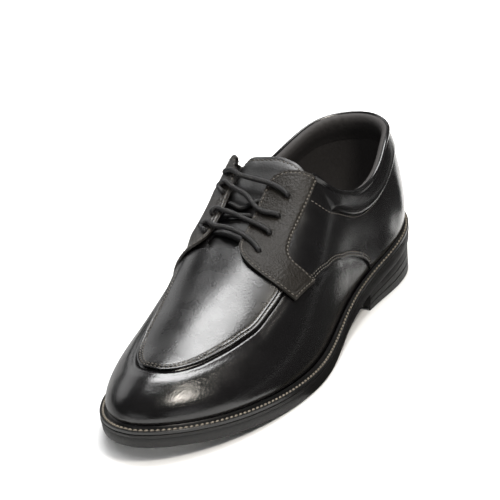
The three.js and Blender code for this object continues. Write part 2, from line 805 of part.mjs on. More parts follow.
// Tongue: under the facings, over the ridge from side to side
function tongueGeometry() {
  const first = columns.findIndex((entry) => entry.ridge >= TONGUE_TOP);
  const last = columns.findIndex((entry) => entry.ridge >= TONGUE_TOE);
  const rowCount = columns[0].points.length;
  const grid = [];
  for (let i = first; i <= last; i += 1) {
    const rows = [];
    const both = (at, j) => [on(at, j, -WALL - FIT), on(at, j, -WALL - FIT - TONGUE_THICK)];
    for (let j = TOP_ROW - 2; j < rowCount; j += 1) rows.push(both(i, j));
    for (let j = rowCount - 2; j >= TOP_ROW - 2; j -= 1) rows.push(both(mirror(i), j));
    grid.push(rows);
  }
  return quilt(grid, false);
}

// Ring of points round the foot line, moved out and set at a height
function ring(out, z) {
  return columns.map(({ q }) => {
    const [x, y] = plan(q);
    const [nx, ny] = outward(q);
    const away = out(x, q);
    return new THREE.Vector3(x + nx * away, y + ny * away, z(x, q));
  });
}

const margin = (x) => read(MARGIN, 'along', 'out', x / UPPER_LENGTH);
const weltBottom = (x) => footZ(x) - WELT_THICK;
const soleTop = (x) => weltBottom(x) - FIT;
const soleBottom = (x) => Math.max(0, soleTop(x) - SOLE_THICK - FLAT_CUT);

function insoleGeometry() {
  const inside = () => -WALL - FIT;
  return stack([ring(inside, weltBottom), ring(inside, (x) => weltBottom(x) + INSOLE_THICK)]);
}

// Welt: a flat strip with a bead against the upper
function weltGeometry() {
  const rings = [
    ring(() => FIT, weltBottom),
    ring((x) => margin(x), weltBottom),
    ring((x) => margin(x), (x) => footZ(x) - 0.2),
    ring((x) => margin(x) * 0.5, (x) => footZ(x) - 0.5),
    ring(() => FIT + BEAD_LEAN + 1.1, (x) => footZ(x) + BEAD_HIGH),
    ring(() => FIT + BEAD_LEAN, (x) => footZ(x) + BEAD_HIGH),
    ring(() => FIT + BEAD_LEAN * 0.3, footZ),
  ];
  return band(columns.map((entry, i) => rings.map((level) => level[i])), true);
}

// Channels between the lugs, following the tread, inside a field set back from the edge
function channels(edge, bottom, x0, x1) {
  const shape = new THREE.Shape();
  const steps = 12;
  shape.moveTo(x0 - 5, -3);
  shape.lineTo(x1 + 5, -3);
  for (let k = 0; k <= steps; k += 1) {
    const x = mix(x1 + 5, x0 - 5, k / steps);
    shape.lineTo(x, bottom(x) + LUG_DEEP);
  }
  const deep = new THREE.ExtrudeGeometry(shape, { depth: BALL_WIDTH * 2, bevelEnabled: false });
  deep.rotateX(Math.PI / 2).translate(0, BALL_WIDTH, 0);
  const field = (inset) => {
    const line = ring((x) => margin(x) - inset, () => 0).map((p) => new THREE.Vector2(p.x, p.y));
    const depth = CUT_HIGH - CUT_LOW;
    const prism = new THREE.ExtrudeGeometry(new THREE.Shape(line), { depth, bevelEnabled: false });
    return toSolid(prism.translate(0, 0, CUT_LOW));
  };
  const rim = field(edge - LUG_GAP).subtract(field(edge));
  const slots = [];
  const block = (from, to, left, right) => box(from, to, left, right, CUT_LOW, CUT_HIGH);
  for (let k = Math.ceil(x0 / LUG_LONG); k * LUG_LONG < x1; k += 1) {
    const x = k * LUG_LONG;
    slots.push(block(x, x + LUG_GAP, -BALL_WIDTH, BALL_WIDTH));
  }
  const half = Math.ceil(BALL_WIDTH / 2 / LUG_WIDE);
  for (let k = -half; k <= half; k += 1) {
    const y = k * LUG_WIDE;
    slots.push(block(x0, x1, y, y + LUG_GAP));
  }
  const limits = block(x0, x1, -BALL_WIDTH, BALL_WIDTH);
  return joinAll(slots).intersect(field(edge)).add(rim).intersect(limits).intersect(toSolid(deep));
}

// Outsole: full length, with a step in its edge, an arch at the waist and lugs under the ball
function outsoleGeometry() {
  const body = stack([
    ring((x) => margin(x) - SOLE_STEP - 0.4, soleBottom),
    ring((x) => margin(x) - SOLE_STEP, (x) => soleTop(x) - SOLE_STEP_DOWN - 0.3),
    ring(margin, (x) => soleTop(x) - SOLE_STEP_DOWN),
    ring(margin, soleTop),
  ]);
  const rear = TREAD_REAR * UPPER_LENGTH;
  const tread = channels(TREAD_MARGIN, soleBottom, rear, UPPER_LENGTH);
  return fromSolid(mainBody(toSolid(body).subtract(tread)));
}

// Heel block: under the outsole, its side grooved twice and its tread cut into lugs
function heelGeometry() {
  const top = (x) => Math.max(soleBottom(x) - FIT, 1);
  const rings = HEEL_SIDE.map((row) => ring(
    (x) => margin(x) - SOLE_STEP - HEEL_INSET - row.inset * HEEL_TAPER - row.groove * HEEL_GROOVE,
    (x) => row.lift * top(x),
  ));
  const breast = HEEL_BREAST * UPPER_LENGTH;
  const behind = box(-HEEL_LIFT, breast, -BALL_WIDTH, BALL_WIDTH, CUT_LOW, CUT_HIGH);
  const block = toSolid(stack(rings)).intersect(behind);
  const tread = channels(HEEL_MARGIN, () => 0, 0, breast - HEEL_MARGIN);
  return fromSolid(mainBody(block.subtract(tread)));
}

// Laces: four bars over the facings and the crossings between them, joined in one
function lacesGeometry() {
  const over = FACING_FIT + OVERLAY + 1.5 * FIT + LACE_THICK / 2;
  const circle = new THREE.Shape().absarc(0, 0, LACE_THICK / 2, 0, Math.PI * 2, false);
  const cord = (points) => toSolid(new THREE.ExtrudeGeometry(circle, {
    steps: LACE_STEPS,
    curveSegments: LACE_SIDES / 2,
    bevelEnabled: false,
    extrudePath: new THREE.CatmullRomCurve3(points, false, 'centripetal'),
  }));
  const spot = (side, ridge, out, off) => {
    const [i, j] = place(side, ridge, out);
    return on(i, j, off);
  };
  const edge = THROAT_HALF + 0.02;
  const near = THROAT_HALF * 0.6;
  const dip = over - LACE_SINK * 0.7;
  const shoulder = mix(EYELET_OUT, edge, 0.5);
  // Ridge share of a bar, a share of the way over from one side
  const along = ({ outer, inner }, side, share) => mix(outer, inner, side ? 1 - share : share);
  const solids = EYELETS.map((pair) => cord([
    spot(0, pair.outer, EYELET_OUT, over),
    spot(0, along(pair, 0, LACE_SHOULDER), shoulder, over),
    spot(0, along(pair, 0, LACE_EDGE), edge, over),
    spot(0, along(pair, 0, LACE_DIP), near, dip),
    spot(1, along(pair, 1, LACE_DIP), near, dip),
    spot(1, along(pair, 1, LACE_EDGE), edge, over),
    spot(1, along(pair, 1, LACE_SHOULDER), shoulder, over),
    spot(1, pair.inner, EYELET_OUT, over),
  ]));
  const under = LACE_THICK / 2 - WALL;
  EYELETS.slice(1).forEach((low, k) => {
    const side = k % 2;
    const from = along(EYELETS[k], side, LACE_DIP);
    const to = along(low, 1 - side, LACE_DIP);
    solids.push(cord([
      spot(side, from, near, dip),
      spot(0, mix(from, to, 0.5), 0.002, under),
      spot(1 - side, to, near, dip),
    ]));
  });
  return fromSolid(joinAll(solids));
}

const ROUGHNESS = {
  leather: 0.38,
  welt: 0.45,
  rubber: 0.7,
  lining: 0.85,
  lace: 0.55,
};

// Angle between faces, in radians, past which their edge stays sharp
const CREASE = 0.6;

const group = new THREE.Group();
function add(name, geometry, finish) {
  const look = { color: COLOURS[finish], roughness: ROUGHNESS[finish], metalness: 0 };
  const mesh = new THREE.Mesh(toCreasedNormals(geometry, CREASE), new THREE.MeshStandardMaterial(look));
  mesh.name = name;
  group.add(mesh);
}

add('outsole', outsoleGeometry(), 'rubber');
add('heel', heelGeometry(), 'rubber');
add('welt', weltGeometry(), 'welt');
add('insole', insoleGeometry(), 'lining');
add('upper', upperGeometry(), 'leather');
add('apron', apronGeometry(), 'leather');
add('facing_outer', facingGeometry(0), 'leather');
add('facing_inner', facingGeometry(1), 'leather');
add('collar', collarGeometry(), 'leather');
add('backstay', backstayGeometry(), 'leather');
add('tongue', tongueGeometry(), 'leather');
add('laces', lacesGeometry(), 'lace');

// Origin at the middle of the bounding box, on the floor
const bounds = new THREE.Box3().setFromObject(group);
const centre = bounds.getCenter(new THREE.Vector3());
for (const mesh of group.children) mesh.position.set(-centre.x, -centre.y, -bounds.min.z);
export default group;
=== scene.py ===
"""Left chef shoe in black leather: a lace-up derby with a raised apron, a padded collar,
a stitched welt and a rubber sole with a heel block. Lengths in the tables are millimetres."""

import math

import bpy
import mathutils
import numpy as np
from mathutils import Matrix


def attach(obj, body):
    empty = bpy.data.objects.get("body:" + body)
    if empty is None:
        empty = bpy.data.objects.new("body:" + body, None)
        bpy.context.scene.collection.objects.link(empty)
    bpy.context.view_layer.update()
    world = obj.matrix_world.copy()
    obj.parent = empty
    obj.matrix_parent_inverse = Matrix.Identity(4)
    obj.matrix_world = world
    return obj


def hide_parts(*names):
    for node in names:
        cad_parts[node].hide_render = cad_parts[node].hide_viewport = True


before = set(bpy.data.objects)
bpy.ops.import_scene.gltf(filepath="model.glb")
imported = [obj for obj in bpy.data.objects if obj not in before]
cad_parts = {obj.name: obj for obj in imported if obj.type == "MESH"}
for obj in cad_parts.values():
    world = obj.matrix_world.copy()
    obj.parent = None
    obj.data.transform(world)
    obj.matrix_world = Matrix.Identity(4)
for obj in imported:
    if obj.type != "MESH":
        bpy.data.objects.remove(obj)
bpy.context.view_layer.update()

bl_info = {
    "name": "Chef shoe",
    "version": (1, 0, 0),
    "blender": (4, 5, 0),
    "location": "View3D > Sidebar > Chef shoe",
    "description": "Builds a left leather work shoe piece by piece on its last",
    "category": "Object",
}

# ---- Sizes of the last and the shoe, in millimetres ----
UPPER_LENGTH = 290.0
BALL_WIDTH = 90.0
INSTEP_HEIGHT = 104.5
COLLAR_HEIGHT = 90.0
HEEL_LIFT = 22.2
TOE_SPRING = 8.7
WALL = 1.8
OVERLAY = 1.4
TONGUE_THICK = 3.0
INSOLE_THICK = 2.6
WELT_THICK = 2.2
BEAD_LEAN = 0.8
SOLE_THICK = 7.7
FIT = 0.35
OVERLAY_FIT = 0.5
FACING_FIT = 0.65
COLLAR_DEPTH = 14.0
COLLAR_RISE = 3.0
COLLAR_FRONT = 0.385
THROAT_HALF = 0.112
THROAT_TOE = 0.6
THROAT_ROUND = 0.03
SOLE_STEP = 0.6
SOLE_STEP_DOWN = 1.8
FLAT_CUT = 0.15
HEEL_BREAST = 0.285
HEEL_INSET = 0.9
HEEL_TAPER = 1.1
HEEL_GROOVE = 0.8
LUG_LONG = 14.6
LUG_WIDE = 10.5
LUG_GAP = 1.3
LUG_DEEP = 2.2
TREAD_MARGIN = 9.0
TREAD_REAR = 0.445
HEEL_MARGIN = 5.0
BULGE = 4.8
BULGE_LOW = 0.55

# Where the middle of the shoe's box lies on the last
ORIGIN = np.array([147.0426, 1.78, 0.0])

# Foot line. Columns: share of the length, share of the ball width, where the rib meets the ridge
OUTLINE = np.array([
    [0.006, 0.000, 0.160], [0.040, 0.215, 0.165], [0.130, 0.342, 0.190], [0.258, 0.352, 0.275],
    [0.396, 0.395, 0.396], [0.517, 0.470, 0.510], [0.627, 0.522, 0.620], [0.717, 0.510, 0.707],
    [0.807, 0.455, 0.786], [0.890, 0.355, 0.848], [0.960, 0.200, 0.880], [1.000, -0.040, 0.893],
    [0.972, -0.225, 0.886], [0.917, -0.355, 0.855], [0.838, -0.455, 0.797], [0.745, -0.480, 0.717],
    [0.648, -0.436, 0.628], [0.534, -0.375, 0.517], [0.407, -0.350, 0.400], [0.269, -0.345, 0.279],
    [0.130, -0.345, 0.190], [0.040, -0.230, 0.165],
])
TIP_ROW = 11

# Ridge. Columns: share of the length, share of the instep height, share of the ball width
RIDGE = np.array([
    [0.150, 1.445, 0.000], [0.220, 1.340, -0.022], [0.310, 1.182, -0.061], [0.400, 1.000, -0.094],
    [0.500, 0.799, -0.100], [0.600, 0.684, -0.084], [0.700, 0.572, -0.061], [0.785, 0.492, -0.044],
    [0.850, 0.434, -0.033], [0.880, 0.416, -0.029], [0.895, 0.406, -0.027],
])

# Height of the foot line. Columns: share of the length, of the heel lift, of the toe spring
FOOT_LINE = np.array([
    [0.00, 1.000, 0.00], [0.13, 0.768, 0.00], [0.27, 0.522, 0.00], [0.40, 0.314, 0.00],
    [0.52, 0.060, 0.00], [0.60, 0.000, 0.00], [0.68, 0.000, 0.00], [0.74, 0.000, 0.07],
    [0.81, 0.000, 0.24], [0.90, 0.000, 0.54], [1.00, 0.000, 1.00],
])

# Fullness of the ribs. Columns: share of the length, power
FULLNESS = np.array([
    [0.00, 1.20], [0.10, 1.20], [0.35, 0.58], [0.55, 0.45], [0.75, 0.93], [0.95, 1.05], [1.00, 1.05],
])

# Top edge. Columns: share of the length, shares of the collar height outside and inside
TOP_LINE = np.array([
    [0.020, 1.000, 1.000], [0.060, 0.995, 0.990], [0.133, 0.965, 0.940], [0.176, 0.897, 0.915],
    [0.233, 0.838, 0.900], [0.270, 0.836, 0.910], [0.311, 0.868, 0.950], [0.340, 0.905, 0.990],
    [0.392, 1.020, 1.090], [0.415, 1.115, 1.130], [0.450, 1.170, 1.170],
])

# Apron seam. Columns: share along the ridge, shares of the ball width outside and inside
APRON_SEAM = np.array([
    [0.400, 0.560, 0.460], [0.645, 0.497, 0.275], [0.729, 0.440, 0.255], [0.789, 0.350, 0.240],
    [0.836, 0.262, 0.215], [0.858, 0.213, 0.185], [0.873, 0.172, 0.157], [0.884, 0.130, 0.125],
    [0.893, 0.085, 0.085],
])
APRON_REAR = 0.598

# Millimetres: how much fuller the inner facing stands, and how far the tongue leans in and sinks
INNER_FULLNESS = 3.0
TONGUE_LEAN = 2.4
TONGUE_SUNK = 1.4

# Edges of the facings. Columns: share along the ridge, millimetres from it over the leather
FACING_HEAD = (
    np.array([[0.433, 13.1], [0.424, 16.3], [0.4175, 20.5], [0.413, 25.2], [0.409, 28.8],
              [0.405, 33.2], [0.4035, 37.1]]),
    np.array([[0.412, 12.2], [0.402, 12.8], [0.393, 15.2], [0.387, 19.0], [0.385, 22.5]]),
)
FACING_FRONT = (
    np.array([[0.433, 13.1], [0.444, 11.5], [0.460, 10.8], [0.500, 10.5], [0.560, 10.1],
              [0.582, 10.8], [0.600, 13.2], [0.614, 16.2], [0.628, 21.6], [0.636, 31.3],
              [0.637, 41.9], [0.6275, 54.0]]),
    np.array([[0.412, 12.2], [0.422, 10.6], [0.436, 9.7], [0.484, 9.3], [0.540, 9.6],
              [0.570, 10.6], [0.585, 12.6], [0.594, 15.5], [0.598, 20.7], [0.598, 27.0],
              [0.595, 32.4], [0.590, 41.4], [0.583, 52.2]]),
)
FACING_FOOT = (
    np.array([[0.6275, 54.0], [0.590, 57.6], [0.555, 61.2]]),
    np.array([[0.583, 52.2], [0.555, 56.7], [0.530, 61.2]]),
)
FACING_REAR = (
    np.array([[0.4035, 37.1], [0.435, 37.3], [0.469, 37.3], [0.520, 37.0], [0.545, 37.6],
              [0.562, 39.1], [0.570, 43.0], [0.5655, 49.7], [0.555, 61.2]]),
    np.array([[0.385, 22.5], [0.398, 28.5], [0.414, 34.6], [0.430, 37.1], [0.469, 37.3],
              [0.505, 37.2], [0.525, 39.1], [0.533, 43.2], [0.533, 50.4], [0.530, 61.2]]),
)
CURLS = (((0.614, 15.5, 1.7), (0.420, 14.0, 0.3)), ((0.590, 13.5, 1.3), (0.394, 23.0, 3.4)))

# Lower seam of the outer collar. Columns: share of the length, height
COLLAR_DIP = np.array([[0.000, 76.0], [0.060, 75.6], [0.110, 74.0], [0.152, 69.3], [0.210, 63.0],
                       [0.277, 61.4], [0.330, 65.0], [0.362, 69.4], [0.395, 74.6], [0.430, 81.0],
                       [0.4455, 87.0], [0.460, 93.0]])

# Seam between quarter and vamp. Columns: share along the ridge, share up the rib
QUARTER_SEAM = np.array([
    [0.283, 0.004], [0.289, 0.022], [0.301, 0.036], [0.320, 0.049], [0.351, 0.061], [0.419, 0.083],
    [0.492, 0.133], [0.552, 0.198], [0.565, 0.250], [0.578, 0.300],
])

# Eyelets from the top down. Columns: share along the ridge, millimetres from it, inside below zero
EYELETS_OUTER = [(0.460, 25.5), (0.502, 25.0), (0.543, 24.5), (0.592, 24.0)]
EYELETS_INNER = [(0.425, -16.2), (0.463, -13.8), (0.507, -14.2), (0.552, -13.8)]

# Lace over the facings, from the inner eyelet to the outer one
LACE_BARS = [
    [(0.4275, -12.4), (0.436, -7.9), (0.443, 0.0), (0.446, 8.4), (0.451, 17.3)],
    [(0.4535, -15.8), (0.4485, -14.8), (0.4490, -12.6), (0.459, -8.6), (0.474, 1.2), (0.492, 9.3),
     (0.503, 17.7)],
    [(0.5015, -12.6), (0.505, -9.6), (0.514, -2.4), (0.5255, 7.8), (0.534, 16.9)],
    [(0.5405, -16.2), (0.5335, -15.0), (0.5355, -12.6), (0.544, -9.6), (0.549, -4.0), (0.555, 3.1),
     (0.564, 11.3), (0.578, 18.9)],
]

# Lace over the tongue, from the outer eyelet to the next inner one
LACE_UNDER = [
    [(0.470, 13.5), (0.478, 7.0), (0.486, 3.5), (0.493, -1.2), (0.486, -6.4), (0.474, -12.5)],
    [(0.504, 13.5), (0.506, 7.5), (0.508, 0.0), (0.508, -7.0), (0.507, -13.0)],
    [(0.552, 14.0), (0.563, 8.0), (0.5575, 2.6), (0.550, -5.0), (0.545, -11.4)],
]

# Soft creases. Columns: side, share of the length, height, lean in degrees, half length,
# half width, depth, with a ridge where the depth is below zero
CREASES = [
    (0, 0.225, 50.0, 84.0, 26.0, 9.0, 0.16),
    (0, 0.160, 52.0, 84.0, 24.0, 7.0, 0.20),
    (0, 0.115, 50.0, 88.0, 22.0, 5.0, -0.18),
    (0, 0.375, 48.0, 60.0, 20.0, 9.0, 0.10),
    (0, 0.600, 30.0, 80.0, 14.0, 6.0, 0.08),
    (1, 0.250, 50.0, 86.0, 24.0, 9.0, 0.25),
    (1, 0.340, 46.0, 64.0, 20.0, 8.0, 0.18),
    (1, 0.180, 55.0, 84.0, 20.0, 7.0, -0.16),
    (1, 0.450, 40.0, 60.0, 18.0, 7.0, 0.18),
    (1, 0.560, 30.0, 76.0, 14.0, 6.0, 0.14),
]

# How far sole and welt stand out. Columns: share of the length, millimetres
MARGIN = np.array([[0.0, 4.4], [0.28, 4.0], [0.42, 4.2], [0.6, 5.8], [0.85, 6.6], [1.0, 6.8]])

# Side of the heel block. Columns: share of its height, share of the taper, share of the groove
HEEL_SIDE = np.array([
    [0.000, 1.00, 0.0], [0.035, 0.90, 0.0], [0.300, 0.70, 0.0], [0.312, 0.69, 0.8],
    [0.330, 0.67, 1.0], [0.348, 0.65, 0.8], [0.360, 0.64, 0.0], [0.620, 0.38, 0.0],
    [0.632, 0.37, 0.8], [0.650, 0.35, 1.0], [0.668, 0.33, 0.8], [0.680, 0.32, 0.0],
    [0.970, 0.03, 0.0], [1.000, 0.25, 0.0],
])

# Section of the padded collar. Columns: share of the way from its seam to the top edge,
# millimetres off the leather, millimetres up
COLLAR_SECTION = np.array([
    [-0.020, 0.25, 0.0], [0.000, 0.70, 0.0], [0.020, 1.50, 0.0], [0.055, 2.50, 0.0],
    [0.110, 3.30, 0.0], [0.190, 3.75, 0.0], [0.300, 3.75, 0.0], [0.440, 3.50, 0.0],
    [0.580, 3.10, 0.0], [0.720, 2.65, 0.0], [0.840, 2.25, 0.0], [0.915, 2.00, 0.0],
    [0.950, 1.75, 0.0], [0.965, 1.55, 0.1], [0.985, 1.75, 0.6], [1.000, 1.95, 1.3],
    [1.000, 1.90, 2.0], [1.000, 1.50, 2.6], [1.000, 0.90, 2.95], [1.000, 0.30, 2.95],
    [1.000, -0.15, 2.65], [1.000, -0.35, 2.20], [1.000, -0.70, 2.30], [1.000, -1.40, 2.50],
    [1.000, -2.20, 2.35], [1.000, -2.90, 1.80], [1.000, -3.40, 0.90], [0.970, -3.75, 0.0],
    [0.880, -4.00, 0.0], [0.760, -4.05, 0.0], [0.580, -3.95, 0.0], [0.400, -3.65, 0.0],
    [0.200, -3.10, 0.0], [0.000, -2.55, 0.0], [-0.200, -2.10, 0.0], [-0.350, -1.90, 0.0],
    [-0.300, -1.40, 0.0], [-0.100, -0.80, 0.0],
])
RIM_ROW, LINING_ROW = 13, 21

HALF = 30
OUTER, INNER = 0, 1


def cubic(at, rows, period=0.0):
    """Smooth curve through rows of values at given stations, closed on itself by a period."""
    at = np.asarray(at, float)
    rows = np.asarray(rows, float).reshape(len(at), -1)
    count = len(at)
    closed = period > 0
    gaps = np.append(np.diff(at), period - (at[-1] - at[0]) if closed else 1.0)
    matrix = np.zeros((count, count))
    right = np.zeros_like(rows)
    for i in range(count):
        before, after = (i - 1) % count, (i + 1) % count
        if not closed and i in (0, count - 1):
            matrix[i, i] = 1
            continue
        matrix[i, before] += gaps[before]
        matrix[i, i] += 2 * (gaps[before] + gaps[i])
        matrix[i, after] += gaps[i]
        right[i] = 6 * ((rows[after] - rows[i]) / gaps[i] - (rows[i] - rows[before]) / gaps[before])
    bend = np.linalg.solve(matrix, right)

    def value(t):
        t = np.asarray(t, float)
        u = at[0] + np.mod(t - at[0], period) if closed else t
        i = np.clip(np.searchsorted(at, u, side="right") - 1, 0, count - (1 if closed else 2))
        k = (i + 1) % count
        width = gaps[i][..., None]
        b = (u - at[i])[..., None] / width
        a = 1 - b
        wave = ((a ** 3 - a) * bend[i] + (b ** 3 - b) * bend[k]) * width ** 2 / 6
        return a * rows[i] + b * rows[k] + wave
    return value


def mix(a, b, share):
    return a + (b - a) * share


def smooth_step(value, low, high):
    """0 below low, 1 above high, and soft between."""
    share = np.clip((np.asarray(value, float) - low) / (high - low), 0, 1)
    return share * share * (3 - 2 * share)


def bump_at(value, centre, width):
    return np.exp(-((value - centre) / width) ** 2)


# ---- The last ----
PLAN_POINTS = OUTLINE[:, :2] * [UPPER_LENGTH, BALL_WIDTH]
CHORDS = np.linalg.norm(np.roll(PLAN_POINTS, -1, 0) - PLAN_POINTS, axis=1)
STATIONS = np.concatenate([[0], np.cumsum(CHORDS)[:-1]])
ROUND = CHORDS.sum()
TIP_STATION = STATIONS[TIP_ROW]
plan = cubic(STATIONS, PLAN_POINTS, ROUND)
ridge_curve = cubic(STATIONS, OUTLINE[:, 2], ROUND)
ridge_line = cubic(RIDGE[:, 0], RIDGE[:, [2, 1]] * [BALL_WIDTH, INSTEP_HEIGHT])
foot_curve = cubic(FOOT_LINE[:, 0], FOOT_LINE[:, 1] * HEEL_LIFT + FOOT_LINE[:, 2] * TOE_SPRING)
full_curve = cubic(FULLNESS[:, 0], FULLNESS[:, 1])
top_curve = cubic(TOP_LINE[:, 0], TOP_LINE[:, 1:] * COLLAR_HEIGHT)
dip_curve = cubic(COLLAR_DIP[:, 0], COLLAR_DIP[:, 1])
BALL_BASE = WELT_THICK + FIT + SOLE_THICK


def ridge_share(q):
    return ridge_curve(q)[..., 0]


def foot_z(x):
    return BALL_BASE + foot_curve(np.asarray(x) / UPPER_LENGTH)[..., 0]


def outward(q):
    """Unit vector out of the plan outline."""
    step = plan(np.asarray(q) + 0.5) - plan(np.asarray(q) - 0.5)
    side = np.stack([-step[..., 1], step[..., 0]], -1)
    return side / np.linalg.norm(side, axis=-1, keepdims=True)


def skin(q, up):
    """Point of the last at an outline station, a share up its rib."""
    q, up = np.broadcast_arrays(np.asarray(q, float), np.asarray(up, float))
    foot = plan(q)
    share = ridge_share(q)
    ridge = ridge_line(share)
    low = foot_z(foot[..., 0])
    power = full_curve(foot[..., 0] / UPPER_LENGTH)[..., 0]
    turn = 1 - np.maximum(1 - up, 0) ** (1 / power)
    angle = turn * math.pi / 2
    across = 1 - np.maximum(np.cos(angle), 0) ** power
    rise = np.sin(angle) ** (0.5 + power / 2)
    swell = BULGE * np.sin(math.pi * np.clip(turn, 0, 1) ** BULGE_LOW) * (1 - turn)
    side = outward(q)
    fall = (ridge_line(share + 0.002)[..., 1] - ridge_line(share - 0.002)[..., 1]) / (0.004 * UPPER_LENGTH)
    follow = fall * (foot[..., 0] - share * UPPER_LENGTH) * (1 - across) * across ** 3
    return np.stack([
        mix(foot[..., 0], share * UPPER_LENGTH, across) + side[..., 0] * swell,
        mix(foot[..., 1], ridge[..., 0], across) + side[..., 1] * swell,
        mix(low, ridge[..., 1], rise) + follow,
    ], -1)


def skin_normal(q, up):
    """Outward unit normal of the last."""
    q, up = np.broadcast_arrays(np.asarray(q, float), np.asarray(up, float))
    along = skin(q + 0.4, up) - skin(q - 0.4, up)
    rib = skin(q, np.minimum(up + 0.004, 1)) - skin(q, np.maximum(up - 0.004, 0))
    normal = np.cross(rib, along)
    size = np.linalg.norm(normal, axis=-1, keepdims=True)
    share = ridge_share(q)
    fall = ridge_line(share - 0.002)[..., 1] - ridge_line(share + 0.002)[..., 1]
    top = np.stack([fall, np.zeros_like(fall), np.full_like(fall, 0.004 * UPPER_LENGTH)], -1)
    top /= np.linalg.norm(top, axis=-1, keepdims=True)
    near_top = smooth_step(up, 0.985, 0.999)[..., None]
    normal = mix(normal / np.maximum(size, 1e-9), top, near_top)
    return normal / np.linalg.norm(normal, axis=-1, keepdims=True)


INNER_STATIONS = np.linspace(TIP_STATION, ROUND, 4000)
INNER_SHARES = np.minimum.accumulate(ridge_share(INNER_STATIONS))
OUTER_STATIONS = np.linspace(0, TIP_STATION, 4000)
OUTER_SHARES = np.maximum.accumulate(ridge_share(OUTER_STATIONS))


def station(t):
    """Outline station of a column: 0 at the back, 30 at the tip, 60 at the back again."""
    t = np.mod(np.asarray(t, float), 2 * HALF)
    share = ridge_share(TIP_STATION * (2 * HALF - t) / HALF)
    inner = np.interp(-share, -INNER_SHARES, INNER_STATIONS)
    for _ in range(3):
        slope = (ridge_share(inner + 0.05) - ridge_share(inner - 0.05)) / 0.1
        steep = np.abs(slope) > 1e-5
        inner = inner - np.where(steep, (ridge_share(inner) - share) / np.where(steep, slope, 1), 0)
    return np.where(t <= HALF, TIP_STATION * t / HALF, inner)


def column_of(side, share):
    """Column whose rib meets the ridge at a share of the length."""
    t = np.interp(share, OUTER_SHARES, OUTER_STATIONS) * HALF / TIP_STATION
    return np.where(np.asarray(side) == OUTER, t, 2 * HALF - t)


ARC_COLUMNS = 10
ARC_UPS = np.linspace(0, 1, 241)


def rib_lengths():
    """Distance of each share up each rib from the ridge, over the leather."""
    t = np.arange(2 * HALF * ARC_COLUMNS + 1) / ARC_COLUMNS
    points = skin(station(t)[:, None], ARC_UPS[None, :])
    steps = np.linalg.norm(np.diff(points, axis=1), axis=-1)
    down = np.cumsum(steps[:, ::-1], axis=1)[:, ::-1]
    return np.concatenate([down, np.zeros((len(t), 1))], axis=1)


ARCS = rib_lengths()


def rib_of(t):
    at = np.mod(t, 2 * HALF) * ARC_COLUMNS
    i = min(int(at), len(ARCS) - 2)
    return mix(ARCS[i], ARCS[i + 1], at - i)


def up_at(t, distance):
    """Share up the rib at a distance from the ridge."""
    t, distance = np.broadcast_arrays(np.asarray(t, float), np.asarray(distance, float))
    found = [np.interp(-d, -rib_of(a), ARC_UPS) for a, d in zip(t.ravel(), distance.ravel())]
    return np.array(found).reshape(t.shape)


def distance_at(t, up):
    """Distance from the ridge at a share up the rib."""
    t, up = np.broadcast_arrays(np.asarray(t, float), np.asarray(up, float))
    found = [np.interp(u, ARC_UPS, rib_of(a)) for a, u in zip(t.ravel(), up.ravel())]
    return np.array(found).reshape(t.shape)


def climb(t, up):
    """Distance from the foot line at a share up the rib."""
    return distance_at(t, np.zeros(np.shape(up))) - distance_at(t, up)


def on(t, up, off):
    """Point off the leather at a column and a share up its rib."""
    q = station(t)
    return skin(q, up) + skin_normal(q, up) * np.asarray(off, float)[..., None]


def place(share, out):
    """Column and share up the rib at signed millimetres from the ridge, outside above zero."""
    share, out = np.broadcast_arrays(np.asarray(share, float), np.asarray(out, float))
    t = column_of(np.where(out >= 0, OUTER, INNER), share)
    return t, up_at(t, np.abs(out))


def over(share, out, off):
    t, up = place(share, out)
    return on(t, up, np.broadcast_to(np.asarray(off, float), np.shape(t)))


def is_open(q, side, up, inset, front_drop):
    """Whether the leather has ended: over the top line or inside the throat."""
    point = skin(q, up)
    x = point[..., 0] / UPPER_LENGTH
    levels = top_curve(np.minimum(x, TOP_LINE[-1, 0]))
    level = np.where(side == OUTER, levels[..., 0], levels[..., 1])
    drop = np.where(x < COLLAR_FRONT, COLLAR_RISE, front_drop)
    past = (point[..., 2] > level - drop) & (x < TOP_LINE[-1, 0])
    share = ridge_share(q)
    room = np.sqrt(np.clip((THROAT_TOE - share) / THROAT_ROUND, 0, 1))
    half = THROAT_HALF * BALL_WIDTH * room + inset
    gap = np.abs(point[..., 1] - ridge_line(share)[..., 0]) < half
    return past | (gap & (share >= COLLAR_FRONT) & (share < THROAT_TOE))


def top_up(t, inset=0.0, front_drop=None):
    """Share up the rib at the leather's top edge, or 1 where it is closed over the ridge."""
    front_drop = inset if front_drop is None else front_drop
    t = np.asarray(t, float)
    q = station(t)
    side = np.where(np.mod(t, 2 * HALF) <= HALF, OUTER, INNER)
    levels = np.linspace(0.1, 1, 46)
    found = is_open(q[:, None], side[:, None], levels[None, :], inset, front_drop)
    first = np.argmax(found, axis=1)
    some = found.any(axis=1) & (ridge_share(q) < THROAT_TOE)
    low = levels[np.maximum(first - 1, 0)]
    high = levels[first]
    for _ in range(20):
        mid = (low + high) / 2
        test = is_open(q, side, mid, inset, front_drop)
        high = np.where(test, mid, high)
        low = np.where(test, low, mid)
    return np.where(some, (low + high) / 2, 1.0)


def seam_out(t):
    """Distance of the apron seam from the ridge."""
    t = np.asarray(t, float)
    share = ridge_share(station(t))
    side = np.where(np.mod(t, 2 * HALF) <= HALF, 1, 2)
    out = [np.interp(share, APRON_SEAM[:, 0], APRON_SEAM[:, k]) for k in (1, 2)]
    return np.where(side == 1, out[0], out[1]) * BALL_WIDTH


WHOLE = np.arange(0, 2 * HALF + 1)
apron_seam = cubic(WHOLE, seam_out(WHOLE))


def apron_out(t):
    return apron_seam(np.mod(np.asarray(t, float), 2 * HALF))[..., 0]


